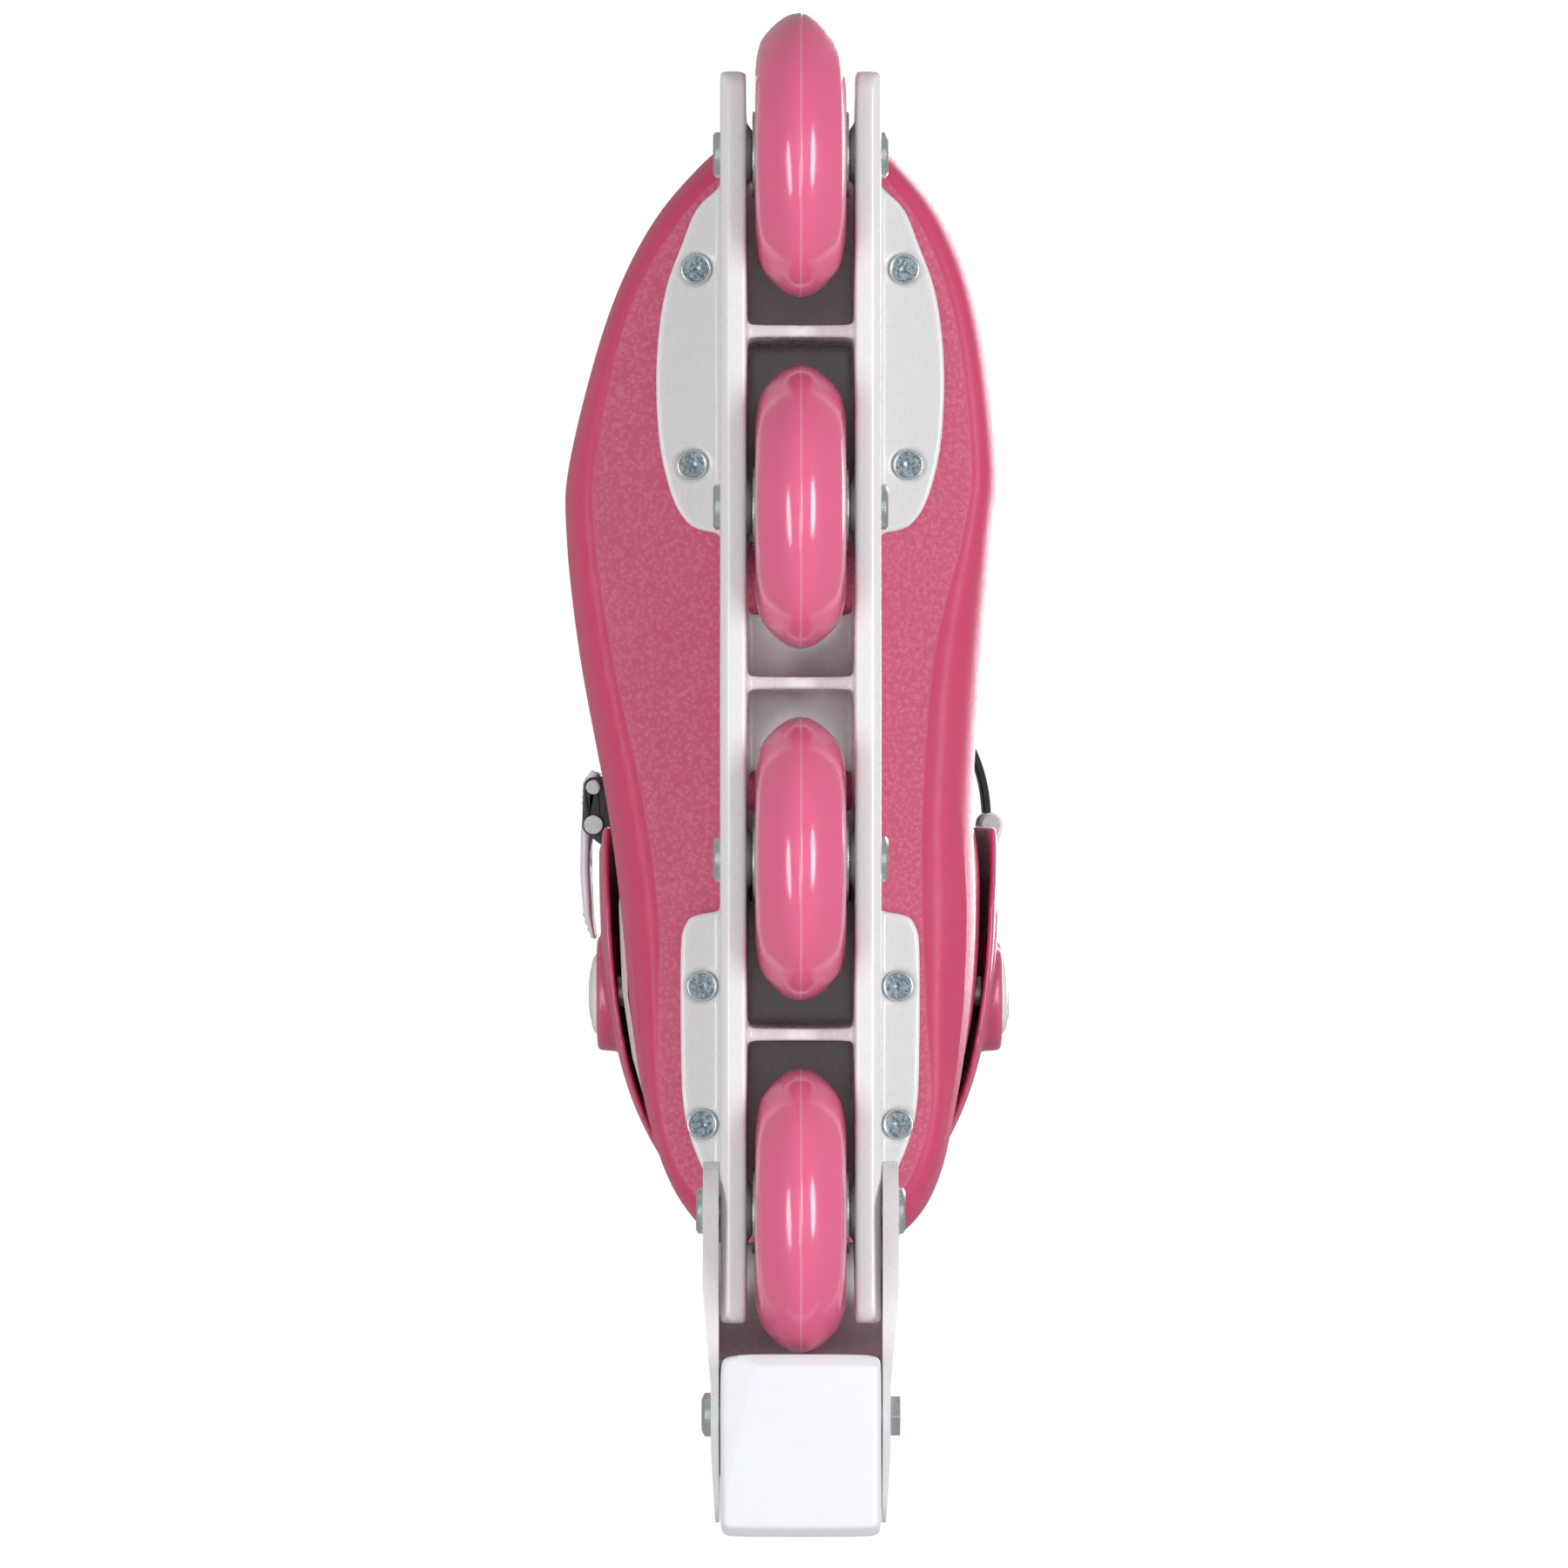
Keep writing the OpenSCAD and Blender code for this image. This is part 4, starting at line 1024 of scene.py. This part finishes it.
def puff(obj, pinned, cap=1.6, pressure=4.0):
    """Blows a sewn pad up by cloth simulation: pinned points are its seams, and none moves more than cap."""
    scene = bpy.context.scene
    group = obj.vertex_groups.new(name="seams")
    for i in np.nonzero(pinned)[0]:
        group.add([int(i)], 1.0, "REPLACE")
    cloth = obj.modifiers.new("cloth", "CLOTH")
    cloth.settings.quality = 5
    cloth.settings.mass = 0.3
    cloth.settings.tension_stiffness = 12
    cloth.settings.compression_stiffness = 12
    cloth.settings.bending_stiffness = 0.6
    cloth.settings.use_pressure = True
    cloth.settings.uniform_pressure_force = pressure
    cloth.settings.vertex_group_mass = "seams"
    cloth.settings.effector_weights.gravity = 0
    cloth.point_cache.frame_start, cloth.point_cache.frame_end = 1, PUFF_FRAMES
    rest = points_of(obj)
    for number in range(1, PUFF_FRAMES + 1):
        scene.frame_set(number)
    moved = obj.evaluated_get(bpy.context.evaluated_depsgraph_get()).to_mesh()
    co = np.zeros(len(rest) * 3)
    moved.vertices.foreach_get("co", co)
    shift = co.reshape(-1, 3) / MM - rest
    size = np.linalg.norm(shift, axis=1, keepdims=True)
    shift *= np.minimum(1, cap / np.maximum(size, 1e-9))
    obj.modifiers.remove(cloth)
    obj.vertex_groups.clear()
    scene.frame_set(1)
    obj.data.vertices.foreach_set("co", ((rest + shift) * MM).ravel())
    obj.data.update()


def soft_piece(obj, nodes):
    """A padded piece: smoothed, baked in place and dressed in the finish of the nodes it replaces."""
    smooth = obj.modifiers.new("smooth", "SUBSURF")
    smooth.levels = smooth.render_levels = 1
    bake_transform(obj)
    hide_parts(*nodes)
    dress(obj, slot_of[nodes[0]])


LINER_SEAMS = [196, 222, 250, 284]


def liner_field(x, y, z):
    """Liner: a padded sock inside the shell and the cuff, with a rolled collar and sewn channels."""
    out = 6.0 - 4.5 * step((z - 198) / 10)
    skin = smin(foot.field(x, y, z, 6.0, 5.8), ankle_field(x, y, z, 0.0) + out, 3.0)
    inner = boot_field(x, y, z, 13.0, 10.8)
    roll = 1.5 * step((z - 284) / 5)
    wall = smax(skin - roll * 0.4, -(inner + roll), 2.5)
    wall = smax(wall, z - 301.5, 3.5)
    opening = smax(throat_field(x, y, 19, 64), 120 - z, 3.0)
    pinch = 1.5 * np.exp(-(seam_distance(z, LINER_SEAMS) / 2.0) ** 2)
    return smax(wall, -opening, 3.5) + pinch


liner = add_skin("liner_padding", liner_field, (-54, -150, 82), (60, 142, 305), 3.6)
q = points_of(liner)
puff(liner, (seam_distance(q[:, 2], LINER_SEAMS) < 2.2) | (q[:, 2] < 170), 1.8)
soft_piece(liner, ["liner", "cuff_liner"])

TONGUE_SEAMS = list(range(118, 300, 15))
TONGUE_KEEP = [(-200, 60), (160, 60), (160, 100), (-20, 140), (-30, 400), (-200, 400)]


def tongue_run(y, z):
    """Length along the tongue, from the toe's end to its top."""
    return z - 0.55 * y


def tongue_field(x, y, z):
    """Tongue: a padded strip under the throat, sewn across."""
    skin = boot_field(x, y, z, 0.2, 0.0)
    inner = boot_field(x, y, z, 5.8, 5.6)
    wall = smax(skin, -inner, 2.0)
    wall = smax(wall, throat_field(x, y, 26, 76), 3.0)
    wall = smax(wall, -polygon_field(y, z, TONGUE_KEEP), 3.0)
    wall = smax(wall, z - 301.5, 3.0)
    near = step((22 - np.abs(x)) / 5)
    return wall + 0.8 * np.exp(-(seam_distance(tongue_run(y, z), TONGUE_SEAMS) / 2.0) ** 2) * near


tongue = add_skin("tongue_padding", tongue_field, (-30, -32, 110), (30, 82, 305), 2.8)
q = points_of(tongue)
puff(tongue, seam_distance(tongue_run(q[:, 1], q[:, 2]), TONGUE_SEAMS) < 1.8, 1.9)
soft_piece(tongue, ["tongue", "tongue_top"])

INSOLE_SEAMS = list(range(-120, 130, 24))


def insole_field(x, y, z):
    """Insole: a thin quilted bed that follows the foot's plan."""
    top = np.interp(y, [-62, 38], [103.0, 95.0])
    plan = foot.field(x, y, z, 13.8, 12.0)
    pinch = 0.7 * np.exp(-(seam_distance(y + 0.5 * np.abs(x), INSOLE_SEAMS) / 1.6) ** 2)
    return smax(smax(plan, z - top + 0.6, 2.0), top - 4 - z, 1.5) + pinch


insole = add_skin("insole_padding", insole_field, (-46, -142, 88), (52, 138, 106), 1.6)
stand_for(insole, "insole")
instep_strap()

# ---------------------------------------------------------------- other nodes keep their CAD shape

BEVELS = {"brake_holder": 1.5, "buckle_base": 0.5, "strap_anchor": 0.5}
for node, obj in frame["nodes"].items():
    if obj.hide_render:
        continue
    dress(obj, slot_of[node])
    soften_edges(obj, BEVELS.get(node, 0.25))

# ---------------------------------------------------------------- stage

def flat_material(name, color, rough):
    m = Look(name, color, rough)
    m.paint(m.mix(m.noise(0.004, 2), darker(color, 0.985), color))
    return m


def floor():
    """A pale floor that is seen from above only."""
    half = 3.0
    mesh = bpy.data.meshes.new("floor")
    corners = [(-half, -half, -0.001), (half, -half, -0.001), (half, half, -0.001), (-half, half, -0.001)]
    mesh.from_pydata(corners, [], [(0, 1, 2, 3)])
    obj = bpy.data.objects.new("floor", mesh)
    bpy.context.scene.collection.objects.link(obj)
    m = flat_material("floor_pale", (0.32, 0.32, 0.325), 0.7)
    m.set("Emission Color", (0.86, 0.86, 0.87, 1))
    m.set("Emission Strength", 0.6)
    clear = m.nodes.new("ShaderNodeBsdfTransparent")
    geometry = m.nodes.new("ShaderNodeNewGeometry")
    mixer = m.nodes.new("ShaderNodeMixShader")
    m.links.new(geometry.outputs["Backfacing"], mixer.inputs["Fac"])
    m.links.new(m.shader.outputs[0], mixer.inputs[1])
    m.links.new(clear.outputs[0], mixer.inputs[2])
    m.links.new(mixer.outputs[0], m.nodes["Material Output"].inputs["Surface"])
    obj.data.materials.append(m.material)
    obj.visible_shadow = False
    obj.visible_diffuse = False
    obj.visible_glossy = False
    obj.visible_transmission = False


def soft_light(name, place, target, size, power):
    data = bpy.data.lights.new(name, "AREA")
    data.shape = "ELLIPSE"
    data.size, data.size_y = size
    data.energy = power
    obj = bpy.data.objects.new(name, data)
    obj.location = place
    direction = Vector(target) - Vector(place)
    obj.rotation_euler = direction.to_track_quat("-Z", "Y").to_euler()
    obj.visible_camera = False
    bpy.context.scene.collection.objects.link(obj)


# name, place, size and watts; two long soft boxes beneath, either side, draw the streaks on the wheels
LIGHTS = [("side_outer", (0.97, -0.2, -0.87), (0.95, 0.32), 7.7),
          ("side_inner", (-0.97, -0.02, -0.87), (0.95, 0.36), 10.9),
          ("beneath", (0, 0, -1.8), (1.6, 1.6), 2.4),
          ("top", (-0.5, 0.4, 1.7), (1.2, 1.2), 24)]


def stage():
    """Floor, lights, and a white world that lights the skate less than it shows."""
    floor()
    world = bpy.data.worlds.new("studio")
    world.use_nodes = True
    background = world.node_tree.nodes["Background"]
    seen = world.node_tree.nodes.new("ShaderNodeLightPath")
    level = world.node_tree.nodes.new("ShaderNodeMapRange")
    level.inputs["To Min"].default_value = 0.36
    level.inputs["To Max"].default_value = 1.0
    world.node_tree.links.new(seen.outputs["Is Camera Ray"], level.inputs["Value"])
    world.node_tree.links.new(level.outputs["Result"], background.inputs["Strength"])
    background.inputs["Color"].default_value = (1, 1, 1, 1)
    bpy.context.scene.world = world
    middle = (0, -0.025, 0.04)
    for name, place, size, power in LIGHTS:
        soft_light(name, place, middle, size, power)
    bpy.context.scene.view_settings.view_transform = "Standard"


def camera():
    """Straight from beneath, toe up: the picture's up is +Y and its right is -X."""
    data = bpy.data.cameras.new("camera")
    data.sensor_width, data.lens = 36, 157.6
    data.clip_start, data.clip_end = 0.1, 20
    obj = bpy.data.objects.new("camera", data)
    obj.location = (0.0042, -0.0256, -1.7)
    obj.rotation_euler = Vector((0, 0, 1)).to_track_quat("-Z", "Y").to_euler()
    bpy.context.scene.collection.objects.link(obj)
    bpy.context.scene.camera = obj


stage()
camera()
